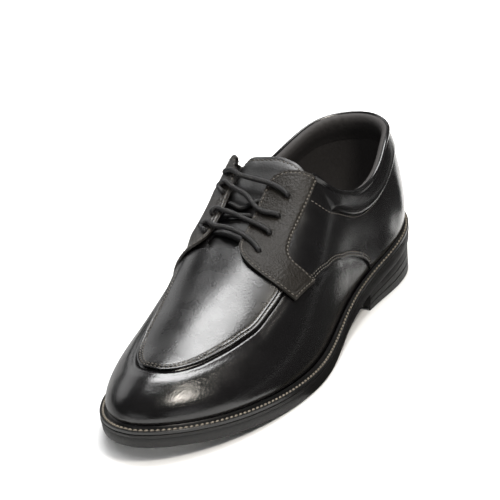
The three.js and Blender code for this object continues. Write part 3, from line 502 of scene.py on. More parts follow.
def collar_seam(t, top):
    """Share up the rib at the collar's lower seam."""
    t = np.asarray(t, float)
    q = station(t)
    x = np.maximum(plan(q)[..., 0] / UPPER_LENGTH, TOP_LINE[0, 0])
    levels = top_curve(x)
    outside = np.mod(t, 2 * HALF) <= HALF
    level = np.where(outside, levels[..., 0], levels[..., 1]) - COLLAR_DEPTH
    level = np.where(outside, mix(level, dip_curve(x)[..., 0], smooth_step(x, 0.02, 0.12)), level)
    low = np.zeros_like(t)
    high = np.asarray(top, float).copy()
    for _ in range(24):
        mid = (low + high) / 2
        above = skin(q, mid)[..., 2] > level
        high = np.where(above, mid, high)
        low = np.where(above, low, mid)
    return (low + high) / 2


def facing_rear(t):
    """Distance of the facing's rear edge from the ridge beside the collar."""
    t = np.asarray(t, float)
    share = ridge_share(station(t))
    out = [np.interp(share, line[:4, 0], line[:4, 1]) for line in FACING_REAR]
    return np.where(np.mod(t, 2 * HALF) <= HALF, out[OUTER], out[INNER])


def collar_top(t):
    """Share up the rib at the collar's top edge, which passes under the facing's rear edge."""
    return np.minimum(top_up(t, 0.0, COLLAR_RISE), up_at(t, facing_rear(t) - 1.3))


def quarter_line(t):
    """Share up the rib at the seam between quarter and vamp."""
    return np.interp(ridge_share(station(t)), QUARTER_SEAM[:, 0], QUARTER_SEAM[:, 1])


def creases(t, up):
    """Soft troughs and ridges of the quarters, in millimetres off the leather."""
    point = skin(station(t), up)
    side = np.where(np.mod(t, 2 * HALF) <= HALF, OUTER, INNER)
    depth = np.zeros(point.shape[:-1])
    for which, along, high, lean, half_long, half_wide, deep in CREASES:
        dx = point[..., 0] - along * UPPER_LENGTH
        dz = point[..., 2] - high
        turn = math.radians(lean)
        u = dx * math.cos(turn) + dz * math.sin(turn)
        v = -dx * math.sin(turn) + dz * math.cos(turn) + 0.012 * u * u
        fold = bump_at(v, 0, half_wide) - 0.45 * bump_at(np.abs(v), 2 * half_wide, half_wide)
        depth -= deep * fold * np.exp(-(u / half_long) ** 4) * (side == which)
    return depth


# ---- Making meshes ----
def to_part(points):
    return (np.asarray(points) - ORIGIN) / 1000


def deselect():
    if bpy.context.mode != "OBJECT":
        bpy.ops.object.mode_set(mode="OBJECT")
    bpy.ops.object.select_all(action="DESELECT")


def pick(piece):
    deselect()
    piece.select_set(True)
    bpy.context.view_layer.objects.active = piece


def in_edit(piece, *steps):
    """Runs edit operators on the whole of a piece."""
    pick(piece)
    bpy.ops.object.mode_set(mode="EDIT")
    bpy.ops.mesh.select_all(action="SELECT")
    for step in steps:
        step()
    bpy.ops.object.mode_set(mode="OBJECT")


def face_outward(piece):
    """Turns an open sheet so that its faces look away from the middle of the foot."""
    mesh = piece.data
    count = len(mesh.polygons)
    centres, normals = np.zeros(count * 3), np.zeros(count * 3)
    mesh.polygons.foreach_get("center", centres)
    mesh.polygons.foreach_get("normal", normals)
    centres = centres.reshape(-1, 3)
    core = centres.copy()
    core[:, 1] = 0
    core[:, 2] = foot_z(np.clip(centres[:, 0] * 1000 + ORIGIN[0], 0, UPPER_LENGTH)) / 1000 + 0.02
    if ((centres - core) * normals.reshape(-1, 3)).sum() < 0:
        in_edit(piece, bpy.ops.mesh.flip_normals)


def wrapped(name, points, closed=False, lengths=None):
    """Lays out a flat grid and wraps it so that its vertices lie at rows of points."""
    rows, columns = points.shape[:2]
    deselect()
    bpy.ops.mesh.primitive_grid_add(x_subdivisions=columns - 1, y_subdivisions=rows - 1, size=0.1)
    piece = bpy.context.object
    piece.name = name
    piece.data.name = name
    piece.data.vertices.foreach_set("co", to_part(points).ravel())
    if lengths is not None:
        uv = np.zeros(len(piece.data.loops) * 2)
        piece.data.uv_layers[0].data.foreach_get("uv", uv)
        uv = (uv.reshape(-1, 2) * lengths).ravel()
        piece.data.uv_layers[0].data.foreach_set("uv", uv)
    piece.data.update()
    in_edit(piece, lambda: bpy.ops.mesh.remove_doubles(threshold=0.00001),
            lambda: bpy.ops.mesh.dissolve_degenerate(threshold=0.000002))
    if closed:
        in_edit(piece, lambda: bpy.ops.mesh.normals_make_consistent(inside=False))
    else:
        face_outward(piece)
    return piece


def modify(piece, kind, **values):
    """Adds a modifier, sets it and applies it."""
    pick(piece)
    modifier = piece.modifiers.new(kind.lower(), kind)
    for key, value in values.items():
        setattr(modifier, key, value)
    bpy.ops.object.modifier_apply(modifier=modifier.name)


def thicken(piece, thick, lining=0):
    modify(piece, "SOLIDIFY", thickness=thick / 1000, offset=-1, use_even_offset=False,
           use_rim=True, use_quality_normals=True, material_offset=lining)


def round_edges(piece, width, angle=50.0, segments=2):
    modify(piece, "BEVEL", width=width / 1000, segments=segments, limit_method="ANGLE",
           angle_limit=math.radians(angle), use_clamp_overlap=True)


def smooth(piece, angle=38.0):
    pick(piece)
    bpy.ops.object.shade_smooth_by_angle(angle=math.radians(angle))


def cut(piece, cutter):
    """Cuts one closed piece out of another and deletes the cutter."""
    modify(piece, "BOOLEAN", operation="DIFFERENCE", object=cutter, solver="MANIFOLD")
    bpy.data.objects.remove(cutter)


def finish_piece(piece, replaced=(), materials=(), angle=38.0):
    for material in materials:
        piece.data.materials.append(material)
    smooth(piece, angle)
    if replaced:
        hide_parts(*replaced)
    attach(piece, "root")
    return piece


def clustered(count, power):
    """Shares from 0 to 1 that lie close together near 0."""
    return np.linspace(0, 1, count) ** power


def both_ends(count, power=1.7):
    """Shares from 0 to 1 that lie close together near both ends."""
    share = np.linspace(-1, 1, count)
    return 0.5 + 0.5 * np.sign(share) * (1 - (1 - np.abs(share)) ** power)


# ---- Materials ----
def sockets(group, direction, entries):
    for name, kind, value in entries:
        socket = group.interface.new_socket(name=name, in_out=direction, socket_type=kind)
        if value is not None:
            socket.default_value = value


def maths(tree, operation, first, second):
    made = tree.nodes.new("ShaderNodeMath")
    made.operation = operation
    for socket, value in zip(made.inputs, (first, second)):
        if isinstance(value, (int, float)):
            socket.default_value = value
        else:
            tree.links.new(value, socket)
    return made.outputs[0]


def grain_group():
    """Pebbled leather grain: fine cells, broken by a slower unevenness."""
    group = bpy.data.node_groups.get("leather_grain")
    if group:
        return group
    group = bpy.data.node_groups.new("leather_grain", "ShaderNodeTree")
    sockets(group, "INPUT", [("Cells", "NodeSocketFloat", 1300.0), ("Cell share", "NodeSocketFloat", 0.6)])
    sockets(group, "OUTPUT", [("Height", "NodeSocketFloat", None), ("Tone", "NodeSocketFloat", None)])
    enter, leave = group.nodes.new("NodeGroupInput"), group.nodes.new("NodeGroupOutput")
    place_on = group.nodes.new("ShaderNodeTexCoord").outputs["Object"]
    cells = group.nodes.new("ShaderNodeTexVoronoi")
    cells.feature = "SMOOTH_F1"
    cells.inputs["Smoothness"].default_value = 0.6
    group.links.new(place_on, cells.inputs["Vector"])
    group.links.new(enter.outputs["Cells"], cells.inputs["Scale"])
    fine = group.nodes.new("ShaderNodeTexNoise")
    fine.inputs["Scale"].default_value = 1500
    fine.inputs["Detail"].default_value = 4
    group.links.new(place_on, fine.inputs["Vector"])
    slow = group.nodes.new("ShaderNodeTexNoise")
    slow.inputs["Scale"].default_value = 90
    slow.inputs["Detail"].default_value = 4
    group.links.new(place_on, slow.inputs["Vector"])
    pebble = maths(group, "MULTIPLY", cells.outputs["Distance"], enter.outputs["Cell share"])
    rough = maths(group, "MULTIPLY", fine.outputs["Fac"], 0.8)
    total = maths(group, "ADD", pebble, rough)
    height = maths(group, "ADD", total, maths(group, "MULTIPLY", slow.outputs["Fac"], 0.15))
    group.links.new(height, leave.inputs["Height"])
    group.links.new(slow.outputs["Fac"], leave.inputs["Tone"])
    return group


def ramp(tree, source, low, high):
    """Maps 0..1 to a range of values."""
    made = tree.nodes.new("ShaderNodeMapRange")
    tree.links.new(source, made.inputs["Value"])
    made.inputs["From Min"].default_value = 0.3
    made.inputs["From Max"].default_value = 0.7
    made.inputs["To Min"].default_value = low
    made.inputs["To Max"].default_value = high
    return made.outputs["Result"]


def tint(tree, source, colour, share):
    """Colour that wavers round its value with a mask."""
    made = tree.nodes.new("ShaderNodeMix")
    made.data_type = "RGBA"
    tree.links.new(source, made.inputs["Factor"])
    made.inputs["A"].default_value = (*[c * (1 - share) for c in colour], 1)
    made.inputs["B"].default_value = (*[c * (1 + share) for c in colour], 1)
    return made.outputs["Result"]


def blank(name):
    material = bpy.data.materials.new(name)
    material.use_nodes = True
    return material, material.node_tree, material.node_tree.nodes["Principled BSDF"]


def leather(name, colour, rough, gloss, cells, depth, shine=0.5):
    """Smooth leather: grain in the bump, uneven gloss and a thin finish coat."""
    material, tree, shader = blank(name)
    grain = tree.nodes.new("ShaderNodeGroup")
    grain.node_tree = grain_group()
    grain.inputs["Cells"].default_value = cells
    tree.links.new(tint(tree, grain.outputs["Tone"], colour, 0.18), shader.inputs["Base Color"])
    tree.links.new(ramp(tree, grain.outputs["Tone"], rough - 0.04, rough + 0.05), shader.inputs["Roughness"])
    shader.inputs["Coat Weight"].default_value = gloss
    shader.inputs["Coat Roughness"].default_value = 0.2
    shader.inputs["Specular IOR Level"].default_value = shine
    bump = tree.nodes.new("ShaderNodeBump")
    bump.inputs["Strength"].default_value = 1.0
    bump.inputs["Distance"].default_value = depth
    tree.links.new(grain.outputs["Height"], bump.inputs["Height"])
    tree.links.new(bump.outputs["Normal"], shader.inputs["Normal"])
    return material


def textured(name, colour, rough, scale, depth, waver=0.15):
    """Plain finish with a fine uneven surface."""
    material, tree, shader = blank(name)
    noise = tree.nodes.new("ShaderNodeTexNoise")
    noise.inputs["Scale"].default_value = scale
    noise.inputs["Detail"].default_value = 5
    where = tree.nodes.new("ShaderNodeTexCoord").outputs["Object"]
    tree.links.new(where, noise.inputs["Vector"])
    tree.links.new(tint(tree, noise.outputs["Fac"], colour, waver), shader.inputs["Base Color"])
    tree.links.new(ramp(tree, noise.outputs["Fac"], rough - 0.05, rough + 0.06), shader.inputs["Roughness"])
    bump = tree.nodes.new("ShaderNodeBump")
    bump.inputs["Distance"].default_value = depth
    tree.links.new(noise.outputs["Fac"], bump.inputs["Height"])
    tree.links.new(bump.outputs["Normal"], shader.inputs["Normal"])
    return material


def corded(name, colour, rough, around, along, depth):
    """Braided cord: two crossing twills on the piece's own map."""
    material, tree, shader = blank(name)
    uv = tree.nodes.new("ShaderNodeTexCoord").outputs["UV"]
    parts = []
    for sign in (1, -1):
        wave = tree.nodes.new("ShaderNodeTexWave")
        wave.wave_profile = "SIN"
        wave.inputs["Scale"].default_value = 1.0
        turn = tree.nodes.new("ShaderNodeMapping")
        turn.inputs["Scale"].default_value = (around * sign, along, 1)
        tree.links.new(uv, turn.inputs["Vector"])
        tree.links.new(turn.outputs["Vector"], wave.inputs["Vector"])
        wave.bands_direction = "DIAGONAL"
        parts.append(wave.outputs["Fac"])
    braid = maths(tree, "MAXIMUM", parts[0], parts[1])
    tree.links.new(tint(tree, braid, colour, 0.35), shader.inputs["Base Color"])
    shader.inputs["Roughness"].default_value = rough
    bump = tree.nodes.new("ShaderNodeBump")
    bump.inputs["Distance"].default_value = depth
    tree.links.new(braid, bump.inputs["Height"])
    tree.links.new(bump.outputs["Normal"], shader.inputs["Normal"])
    return material


def tread_rubber(name, colour, rough):
    """Rubber whose lugs carry fine slanted ribs, with small pits all over."""
    material, tree, shader = blank(name)
    where = tree.nodes.new("ShaderNodeTexCoord").outputs["Object"]
    noise = tree.nodes.new("ShaderNodeTexNoise")
    noise.inputs["Scale"].default_value = 900
    noise.inputs["Detail"].default_value = 4
    tree.links.new(where, noise.inputs["Vector"])
    ribs = tree.nodes.new("ShaderNodeTexWave")
    ribs.bands_direction = "DIAGONAL"
    ribs.inputs["Scale"].default_value = 75
    ribs.inputs["Distortion"].default_value = 0.0
    tree.links.new(where, ribs.inputs["Vector"])
    place_z = tree.nodes.new("ShaderNodeSeparateXYZ")
    normal = tree.nodes.new("ShaderNodeNewGeometry").outputs["True Normal"]
    tree.links.new(normal, place_z.inputs["Vector"])
    below = maths(tree, "LESS_THAN", place_z.outputs["Z"], -0.9)
    height = maths(tree, "ADD", maths(tree, "MULTIPLY", ribs.outputs["Fac"], below),
                   maths(tree, "MULTIPLY", noise.outputs["Fac"], 0.18))
    tree.links.new(tint(tree, noise.outputs["Fac"], colour, 0.15), shader.inputs["Base Color"])
    tree.links.new(ramp(tree, noise.outputs["Fac"], rough - 0.06, rough + 0.06), shader.inputs["Roughness"])
    bump = tree.nodes.new("ShaderNodeBump")
    bump.inputs["Distance"].default_value = 0.0004
    tree.links.new(height, bump.inputs["Height"])
    tree.links.new(bump.outputs["Normal"], shader.inputs["Normal"])
    return material


MATERIALS = {}


def material(name):
    """The finishes, each made when first asked for."""
    colours = bpy.context.scene.chef_shoe_colours
    makers = {
        "vamp_leather": lambda: leather(name, colours.leather, 0.20, 0.2, 750, 0.00010),
        "apron_leather": lambda: leather(name, colours.leather, 0.27, 0.2, 800, 0.00007),
        "quarter_leather": lambda: leather(name, colours.leather, 0.23, 0.15, 900, 0.000035),
        # One facing leather in two copies: the outer one with low reflectivity, painted shade, and the inner
        # one glossier and more reflective, painted light.
        "facing_leather": lambda: leather(name, colours.facing, 0.46, 0.0, 650, 0.00050, 0.28),
        "inner_facing_lit_copy": lambda: leather(name, colours.facing, 0.36, 0.0, 800, 0.00022, 0.6),
        "collar_leather": lambda: leather(name, colours.leather, 0.22, 0.2, 900, 0.00004),
        "tongue_leather": lambda: leather(name, colours.leather, 0.42, 0.0, 800, 0.00010, 0.65),
        "lining": lambda: textured(name, colours.lining, 0.75, 500, 0.0002),
        "sock": lambda: textured(name, colours.lining, 0.8, 700, 0.0002),
        "welt": lambda: textured(name, colours.welt, 0.36, 420, 0.00007),
        "rubber": lambda: tread_rubber(name, colours.rubber, 0.62),
        # The thread colour is lighter than the black thread: painted sheen on the stitches.
        "thread": lambda: textured(name, colours.thread, 0.45, 2500, 0.00008),
        "welt_thread": lambda: textured(name, colours.welt_thread, 0.5, 2500, 0.00008),
        "lace": lambda: corded(name, colours.lace, 0.36, 5.0, 900.0, 0.00018),
    }
    if name not in MATERIALS:
        MATERIALS[name] = makers[name]()
    return MATERIALS[name]


# ---- Upper ----
COLUMNS = 480


def upper_piece():
    """The last's leather, from under the welt to the top edge, lined inside."""
    t = np.arange(COLUMNS + 1) * 2 * HALF / COLUMNS
    share = ridge_share(station(t))
    top = top_up(t, inset=1.2)
    for side, here in ((OUTER, t <= HALF), (INNER, t > HALF)):
        edge = np.concatenate([FACING_HEAD[side][::-1], FACING_FRONT[side][1:5]])
        corner = here & (share > edge[0, 0] + 0.002) & (share < edge[-1, 0])
        out = np.interp(share - 0.0045, edge[:, 0], edge[:, 1]) + 1.3
        top = np.where(corner, np.minimum(top, up_at(t, out)), top)
    seam = np.where(share > COLLAR_FRONT, up_at(t, apron_out(t)), collar_seam(t, top))
    seam = np.minimum(seam, top - 0.1)
    low = 1 - clustered(52, 1.35)[::-1]
    high = clustered(24, 1.35)
    ups = np.concatenate([mix(0 * seam[:, None], seam[:, None], low[None, :]),
                          mix(seam[:, None], top[:, None], high[None, 1:])], axis=1)
    columns = np.repeat(t[:, None], ups.shape[1], axis=1)
    relief = upper_relief(columns, ups)
    points = on(columns, ups, relief)
    skirt = points[:, :1].copy()
    skirt[..., 2] -= WELT_THICK
    points = np.concatenate([skirt, points], axis=1)
    piece = wrapped("upper_shell", points)
    piece.data.materials.append(material("vamp_leather"))
    piece.data.materials.append(material("lining"))
    thicken(piece, WALL, lining=1)
    return piece


def upper_relief(t, up):
    """Troughs beside the apron and the quarter seams, and the creases."""
    past = distance_at(t, up) - apron_out(t)
    front = smooth_step(ridge_share(station(t)), 0.60, 0.64)
    beside = -0.6 * bump_at(past, 0.3, 0.8) + 0.25 * bump_at(past, 2.6, 1.4) + 0.5 * bump_at(past, 7.5, 4.5)
    line = quarter_line(t)
    below = climb(t, up) - climb(t, line)
    ridge_at = ridge_share(station(t))
    along = smooth_step(ridge_at, 0.28, 0.30) * (1 - smooth_step(ridge_at, 0.575, 0.6))
    step = -0.7 * np.exp(-(np.minimum(below, 0) / 3.5) ** 2) * along * (below < 6)
    return beside * front + step + creases(t, up) * smooth_step(up, 0, 0.1)


def quarter_piece(side):
    """Quarter over the vamp, from the backstay to under the facing."""
    ends = sorted([float(column_of(side, 0.578)), 0.9 if side == OUTER else 2 * HALF - 0.9])
    t = np.linspace(ends[0], ends[1], 230)
    top = top_up(t)
    share = ridge_share(station(t))
    collar = mix(collar_seam(t, top), top, 0.3)
    under = up_at(t, np.full_like(t, 33.0))
    high = mix(collar, under, smooth_step(share, 0.375, 0.40))
    low = np.where(share < QUARTER_SEAM[0, 0], 0.004, quarter_line(t))
    rows = clustered(56, 1.5)
    ups = mix(low[:, None], high[:, None], rows[None, :])
    columns = np.repeat(t[:, None], ups.shape[1], axis=1)
    edge = climb(columns, ups) - climb(t, low)[:, None]
    rise = 0.55 - 0.22 * bump_at(edge, 1.5, 0.45) - 0.22 * bump_at(edge, 3.1, 0.45)
    rise = mix(0.5, rise, smooth_step(share, QUARTER_SEAM[0, 0] - 0.03, QUARTER_SEAM[0, 0] + 0.01)[:, None])
    points = on(columns, ups, rise + creases(columns, ups) * smooth_step(ups, 0, 0.1))
    name = "quarter_outer" if side == OUTER else "quarter_inner"
    piece = wrapped(name, points)
    thicken(piece, 0.9)
    round_edges(piece, 0.25)
    return piece


def apron_piece():
    """Raised apron over the toes, its edge rolled and stitched down."""
    rear = float(column_of(OUTER, APRON_REAR))
    t = np.linspace(rear, 2 * HALF - rear, 330)
    seam = apron_out(t)
    rows = clustered(46, 1.8)
    out = seam[:, None] * (1 - rows[None, :])
    columns = np.repeat(t[:, None], len(rows), axis=1)
    ups = up_at(columns, out)
    edge = seam[:, None] - out
    lift = OVERLAY_FIT + OVERLAY + 0.1 * bump_at(edge, 0.5, 0.5) \
        - 0.38 * bump_at(edge, 1.5, 0.42) + 0.12 * bump_at(edge, 2.3, 0.4) - 0.24 * bump_at(edge, 3.2, 0.42)
    points = on(columns, ups, lift)
    piece = wrapped("apron_leather", points)
    thicken(piece, OVERLAY)
    round_edges(piece, 0.35)
    return piece


# ---- Facings ----
def resample(line, count=None, shares=None):
    """Points along a polyline of (share along the ridge, millimetres out)."""
    line = np.asarray(line, float)
    flat = line * [UPPER_LENGTH, 1]
    walked = np.concatenate([[0], np.cumsum(np.linalg.norm(np.diff(flat, axis=0), axis=1))])
    at = (np.linspace(0, 1, count) if shares is None else shares) * walked[-1]
    return np.stack([np.interp(at, walked, line[:, k]) for k in (0, 1)], -1)


def softened(line, passes=3):
    """Rounds the corners of a polyline, its ends kept."""
    line = np.asarray(line, float)
    for _ in range(passes):
        cut_low = mix(line[:-1], line[1:], 0.25)
        cut_high = mix(line[:-1], line[1:], 0.75)
        inside = np.stack([cut_low, cut_high], 1).reshape(-1, 2)
        line = np.concatenate([line[:1], inside[1:-1], line[-1:]])
    return line


def facing_edges(side):
    """Four edges of a facing: top, front, foot and rear."""
    tables = (FACING_HEAD, FACING_FRONT, FACING_FOOT, FACING_REAR)
    return [softened(table[side]) for table in tables]


def facing_net(side, across, down):
    """Net of (share along the ridge, millimetres out) between a facing's four edges."""
    head, front, foot, rear = facing_edges(side)
    top = resample(head, shares=across)
    base = resample(foot, shares=across)
    left = resample(front, shares=down)
    right = resample(rear, shares=down)
    u, v = across[None, :, None], down[:, None, None]
    between = mix(top[None], base[None], v) + mix(left[:, None], right[:, None], u)
    corners = mix(mix(top[0], top[-1], u), mix(base[0], base[-1], u), v)
    return between - corners


def facing_lift(share, out, side=OUTER):
    """How far a facing stands off where it lies over the apron and curls at its corner."""
    over_apron = smooth_step(share, 0.565, 0.605) * (1 - smooth_step(out, 40, 52))
    curl = 0
    for at, across, high in CURLS[side]:
        curl = curl + high * np.exp(-(((share - at) * UPPER_LENGTH) ** 2 + (out - across) ** 2) / 100)
    if side == INNER:
        fuller = INNER_FULLNESS * bump_at(out, 24, 8) * smooth_step(share, 0.40, 0.45)
        curl = curl + fuller * (1 - smooth_step(share, 0.53, 0.58))
    return 1.35 * over_apron + 0.5 * smooth_step(share, 0.58, 0.62) + curl


def lift_at(share, across):
    """The same for a point given by its signed distance from the ridge."""
    return float(facing_lift(np.array(share), np.array(abs(across)), OUTER if across > 0 else INNER))


def facing_piece(side):
    """Facing with its tab, pressed in round each eyelet."""
    across, down = both_ends(64), both_ends(120, 1.5)
    net = facing_net(side, across, down)
    sign = 1 if side == OUTER else -1
    head, front, foot, rear = facing_edges(side)
    plane = net * [UPPER_LENGTH, 1]
    near = {}
    for key, line in (("front", np.concatenate([head[::-1], front])), ("rear", rear), ("foot", foot)):
        dense = resample(line, 160) * [UPPER_LENGTH, 1]
        near[key] = np.linalg.norm(plane[:, :, None] - dense[None, None], axis=-1).min(-1)
    rise = FACING_FIT + OVERLAY + facing_lift(net[..., 0], net[..., 1], side)
    edge = np.minimum(near["front"], near["foot"])
    rise = rise - 0.26 * bump_at(edge, 1.4, 0.45) - 0.22 * bump_at(edge, 3.0, 0.45)
    skived = mix(0.55, 1.2, smooth_step(net[..., 0], 0.445, 0.475))
    rise = rise - skived * (1 - smooth_step(near["rear"], -0.6, 3.0)) - 0.3 * bump_at(near["rear"], 1.1, 0.5)
    for at, out in EYELETS_OUTER if side == OUTER else EYELETS_INNER:
        reach = np.linalg.norm(plane - [at * UPPER_LENGTH, abs(out)], axis=-1)
        rise = rise - 0.35 * bump_at(reach, 0, 2.8) + 0.1 * bump_at(reach, 4.2, 1.4)
    t, up = place(net[..., 0], net[..., 1] * sign)
    name = "facing_outer_leather" if side == OUTER else "facing_inner_leather"
    piece = wrapped(name, on(t, up, rise))
    thicken(piece, OVERLAY)
    round_edges(piece, 0.3)
    return piece


def eyelet_cutters(side):
    """Short rods square to the leather at each eyelet, joined."""
    rods = []
    for at, out in EYELETS_OUTER if side == OUTER else EYELETS_INNER:
        low, high = to_part(over(at, out, -5.0)), to_part(over(at, out, 8.0))
        axis = high - low
        deselect()
        bpy.ops.mesh.primitive_cylinder_add(
            vertices=20, radius=0.0017, depth=float(np.linalg.norm(axis)), location=(low + high) / 2)
        rod = bpy.context.object
        turn = bpy.context.object.rotation_euler
        turn.x = 0.0
        turn.y = math.acos(axis[2] / np.linalg.norm(axis))
        turn.z = math.atan2(axis[1], axis[0])
        rods.append(rod)
    deselect()
    for rod in rods:
        rod.select_set(True)
    bpy.context.view_layer.objects.active = rods[0]
    bpy.ops.object.join()
    bpy.ops.object.transform_apply(location=True, rotation=True, scale=True)
    return bpy.context.object


# ---- Collar, backstay and tongue ----
def collar_ends():
    """Columns where the collar runs out under the facings, inside below zero."""
    ends = []
    for sign in (-1, 1):
        t = sign * np.linspace(10, 15, 101)
        top = collar_top(t)
        band = distance_at(t, collar_seam(t, top)) - distance_at(t, top)
        ends.append(float(t[int(np.argmax(band < 1.0))]))
    return ends


def collar_piece():
    """Padded collar folded over the top edge, its ends flat under the facings."""
    first, last = collar_ends()
    t = np.linspace(first, last, 340)
    top = collar_top(t)
    seam = collar_seam(t, top)
    share = ridge_share(station(t))
    low, high = distance_at(t, seam), distance_at(t, top)
    section = COLLAR_SECTION
    row = np.arange(len(section))[None, :]
    out = low[:, None] + (high - low)[:, None] * section[None, :, 0]
    corner = np.where(t >= 0, FACING_HEAD[OUTER][-1, 0], FACING_HEAD[INNER][-1, 0])
    covered = smooth_step(share, corner, corner + 0.008)[:, None]
    reach = np.zeros_like(out)
    for side, here in ((OUTER, t >= 0), (INNER, t < 0)):
        edge = resample(FACING_REAR[side][:4], 60) * [UPPER_LENGTH, 1]
        at = np.stack([np.broadcast_to(share[here, None] * UPPER_LENGTH, out[here].shape), out[here]], -1)
        reach[here] = np.linalg.norm(at[:, :, None] - edge[None, None], axis=-1).min(-1)
    clear = smooth_step(reach, -4, 24)
    room = np.tanh(np.maximum(low - high, 0) / 9)[:, None]
    height = room * clear * mix(0.25, 1, smooth_step(np.abs(t), 1.2, 5.0))[:, None]
    pad = np.where(section[:, 1] > 0.5, 0.5 + (section[:, 1] - 0.5) * height, section[:, 1])
    rim = mix(0.25 + 0.5 * section[None, :, 1], section[None, :, 1], smooth_step(reach, 0, 10))
    off = np.where(row < RIM_ROW, pad, rim)
    near_back = mix(0.75, 1, smooth_step(np.abs(t), 1.2, 5.0))[:, None]
    off = np.where((row < LINING_ROW) & (off > 0.3), 0.3 + (off - 0.3) * near_back, off)
    off = mix(off, np.where(row < LINING_ROW, np.minimum(pad, 0.5), 0.05), covered)
    ripple = 0.05 * np.sin(t * 2.3 + 0.6) + 0.03 * np.sin(t * 4.1 + 2.0)
    off = off + ripple[:, None] * (row < RIM_ROW - 2) * height * np.clip(section[:, 1] / 3.7, 0, 1)
    wrinkle = 0.22 * np.sin(t * 13 + 1.5 * np.sin(t * 1.9)) * smooth_step(np.sin(t * 1.3 + 4.0), 0.0, 0.8)
    off = off + wrinkle[:, None] * (row > LINING_ROW) * (row < LINING_ROW + 9) * (1 - covered)
    columns = np.repeat(t[:, None], len(section), axis=1)
    points = on(columns, up_at(columns, out), off)
    points[..., 2] += section[None, :, 2] * (1 - covered)
    points = np.concatenate([points, points[:, :1]], axis=1)
    ends = [np.repeat(points[k:k + 1].mean(axis=1, keepdims=True), points.shape[1], axis=1) for k in (0, -1)]
    points = np.concatenate([ends[0], points, ends[1]], axis=0)
    piece = wrapped("collar_padded", points, closed=True)
    piece.data.materials.append(material("collar_leather"))
    piece.data.materials.append(material("lining"))
    uv = piece.data.uv_layers[0].data
    for face in piece.data.polygons:
        at = sum(uv[k].uv[0] for k in face.loop_indices) / face.loop_total * len(section)
        face.material_index = int(LINING_ROW < at < len(section) - 3)
    modify(piece, "SUBSURF", levels=1, render_levels=1, subdivision_type="CATMULL_CLARK")
    return piece


def backstay_piece():
    """Strip over the back seam, from the welt to the collar."""
    t = np.linspace(-1, 1, 41)
    top = top_up(t)
    seam = collar_seam(t, top)
    rows = np.linspace(0.112, 1.03, 70)
    ups = seam[:, None] * rows[None, :]
    columns = np.repeat(t[:, None], len(rows), axis=1)
    edge = (1 - np.abs(t))[:, None] * 10.5
    rise = FIT + OVERLAY - 0.18 * bump_at(edge, 1.8, 0.5)
    piece = wrapped("backstay_strip", on(columns, ups, np.broadcast_to(rise, ups.shape)))
    thicken(piece, OVERLAY)
    round_edges(piece, 0.3)
    return piece


def tongue_piece():
    """Tongue under the facings, padded at its top."""
    across = np.linspace(-1, 1, 90)
    down = clustered(110, 1.25)
    half = np.where(across > 0, 33.0, 27.0)
    out = across * half
    head = 0.3935 - 0.003 * bump_at(out, 8, 7) + 0.012 * np.abs(across) ** 5
    share = head[:, None] + (0.625 - head[:, None]) * down[None, :]
    outs = np.repeat(out[:, None], len(down), axis=1)
    t, up = place(share, outs)
    pressed = smooth_step(np.abs(outs), 11, 16) * smooth_step(share, 0.41, 0.44)
    swell = 0.5 * bump_at(share, 0.408, 0.012) * (1 - pressed)
    near_head = (share - head[:, None]) * UPPER_LENGTH
    leans = -TONGUE_LEAN * (1 - smooth_step(near_head, -6, 20)) * (1 - pressed)
    sunk = TONGUE_SUNK * smooth_step(share, 0.47, 0.53) * (1 - pressed)
    off = -WALL - FIT - 2.6 * pressed - sunk + swell + leans - 0.22 * bump_at(near_head, 1.9, 0.5)
    piece = wrapped("tongue_leather_piece", on(t, up, off))
    thicken(piece, TONGUE_THICK)
    round_edges(piece, 0.8, segments=3)
    return piece


# ---- Laces ----
def lace_route():
    """Points of the lace from its end under the top inner eyelet to under the top outer one."""
    points = [over(EYELETS_INNER[0][0] + 0.004, EYELETS_INNER[0][1] - 4, -3.6)]
    for k in range(4):
        at, out = EYELETS_INNER[k]
        lift = lift_at(at, out)
        points += [over(at, out, -3.2), over(at, out, 0.4 + lift), over(at, out, 3.2 + lift)]
        for share, across in LACE_BARS[k]:
            lift = lift_at(share, across) * (1 if across < 0 else 0.25) * smooth_step(abs(across), 8, 12)
            points.append(over(share, across, FACING_FIT + OVERLAY + 1.75 + float(lift)))
        at, out = EYELETS_OUTER[k]
        lift = lift_at(at, out)
        points += [over(at, out, 3.2 + lift * 0.8), over(at, out, 0.4), over(at, out, -3.2)]
        if k < 3:
            for share, across in LACE_UNDER[k]:
                under = float(smooth_step(abs(across), 9.5, 13))
                deep = -0.55 - 2.6 * under - float(smooth_step(share, 0.48, 0.54))
                points.append(over(share, across, deep))
    for share in (0.57, 0.53, 0.49, 0.468):
        points.append(over(share, 29.0, -3.6))
    return np.array(points)


def even_curve(points, step):
    """Smooth curve through points, at even steps."""
    gaps = np.linalg.norm(np.diff(points, axis=0), axis=1)
    at = np.concatenate([[0], np.cumsum(np.sqrt(gaps))])
    curve = cubic(at, points)
    dense = curve(np.linspace(0, at[-1], 6000))
    walked = np.concatenate([[0], np.cumsum(np.linalg.norm(np.diff(dense, axis=0), axis=1))])
    marks = np.arange(0, walked[-1], step)
    return np.stack([np.interp(marks, walked, dense[:, k]) for k in range(3)], -1), walked[-1]


def tube(name, path, radius, sides, length):
    """Round cord along a path, with closed ends."""
    tangent = np.gradient(path, axis=0)
    tangent /= np.linalg.norm(tangent, axis=1, keepdims=True)
    side = np.cross(tangent[0], [0, 0, 1.0])
    frames = []
    for direction in tangent:
        side = side - direction * (side @ direction)
        side /= np.linalg.norm(side)
        frames.append((side, np.cross(direction, side)))
    angles = np.linspace(0, 2 * math.pi, sides + 1)
    rings = np.array([p + radius * (np.outer(np.cos(angles), a) + np.outer(np.sin(angles), b))
                      for p, (a, b) in zip(path, frames)])
    ends = [np.repeat(path[k][None], sides + 1, axis=0)[None] for k in (0, -1)]
    points = np.concatenate([ends[0], rings, ends[1]])
    return wrapped(name, points, closed=True, lengths=(1.0, length / 1000))


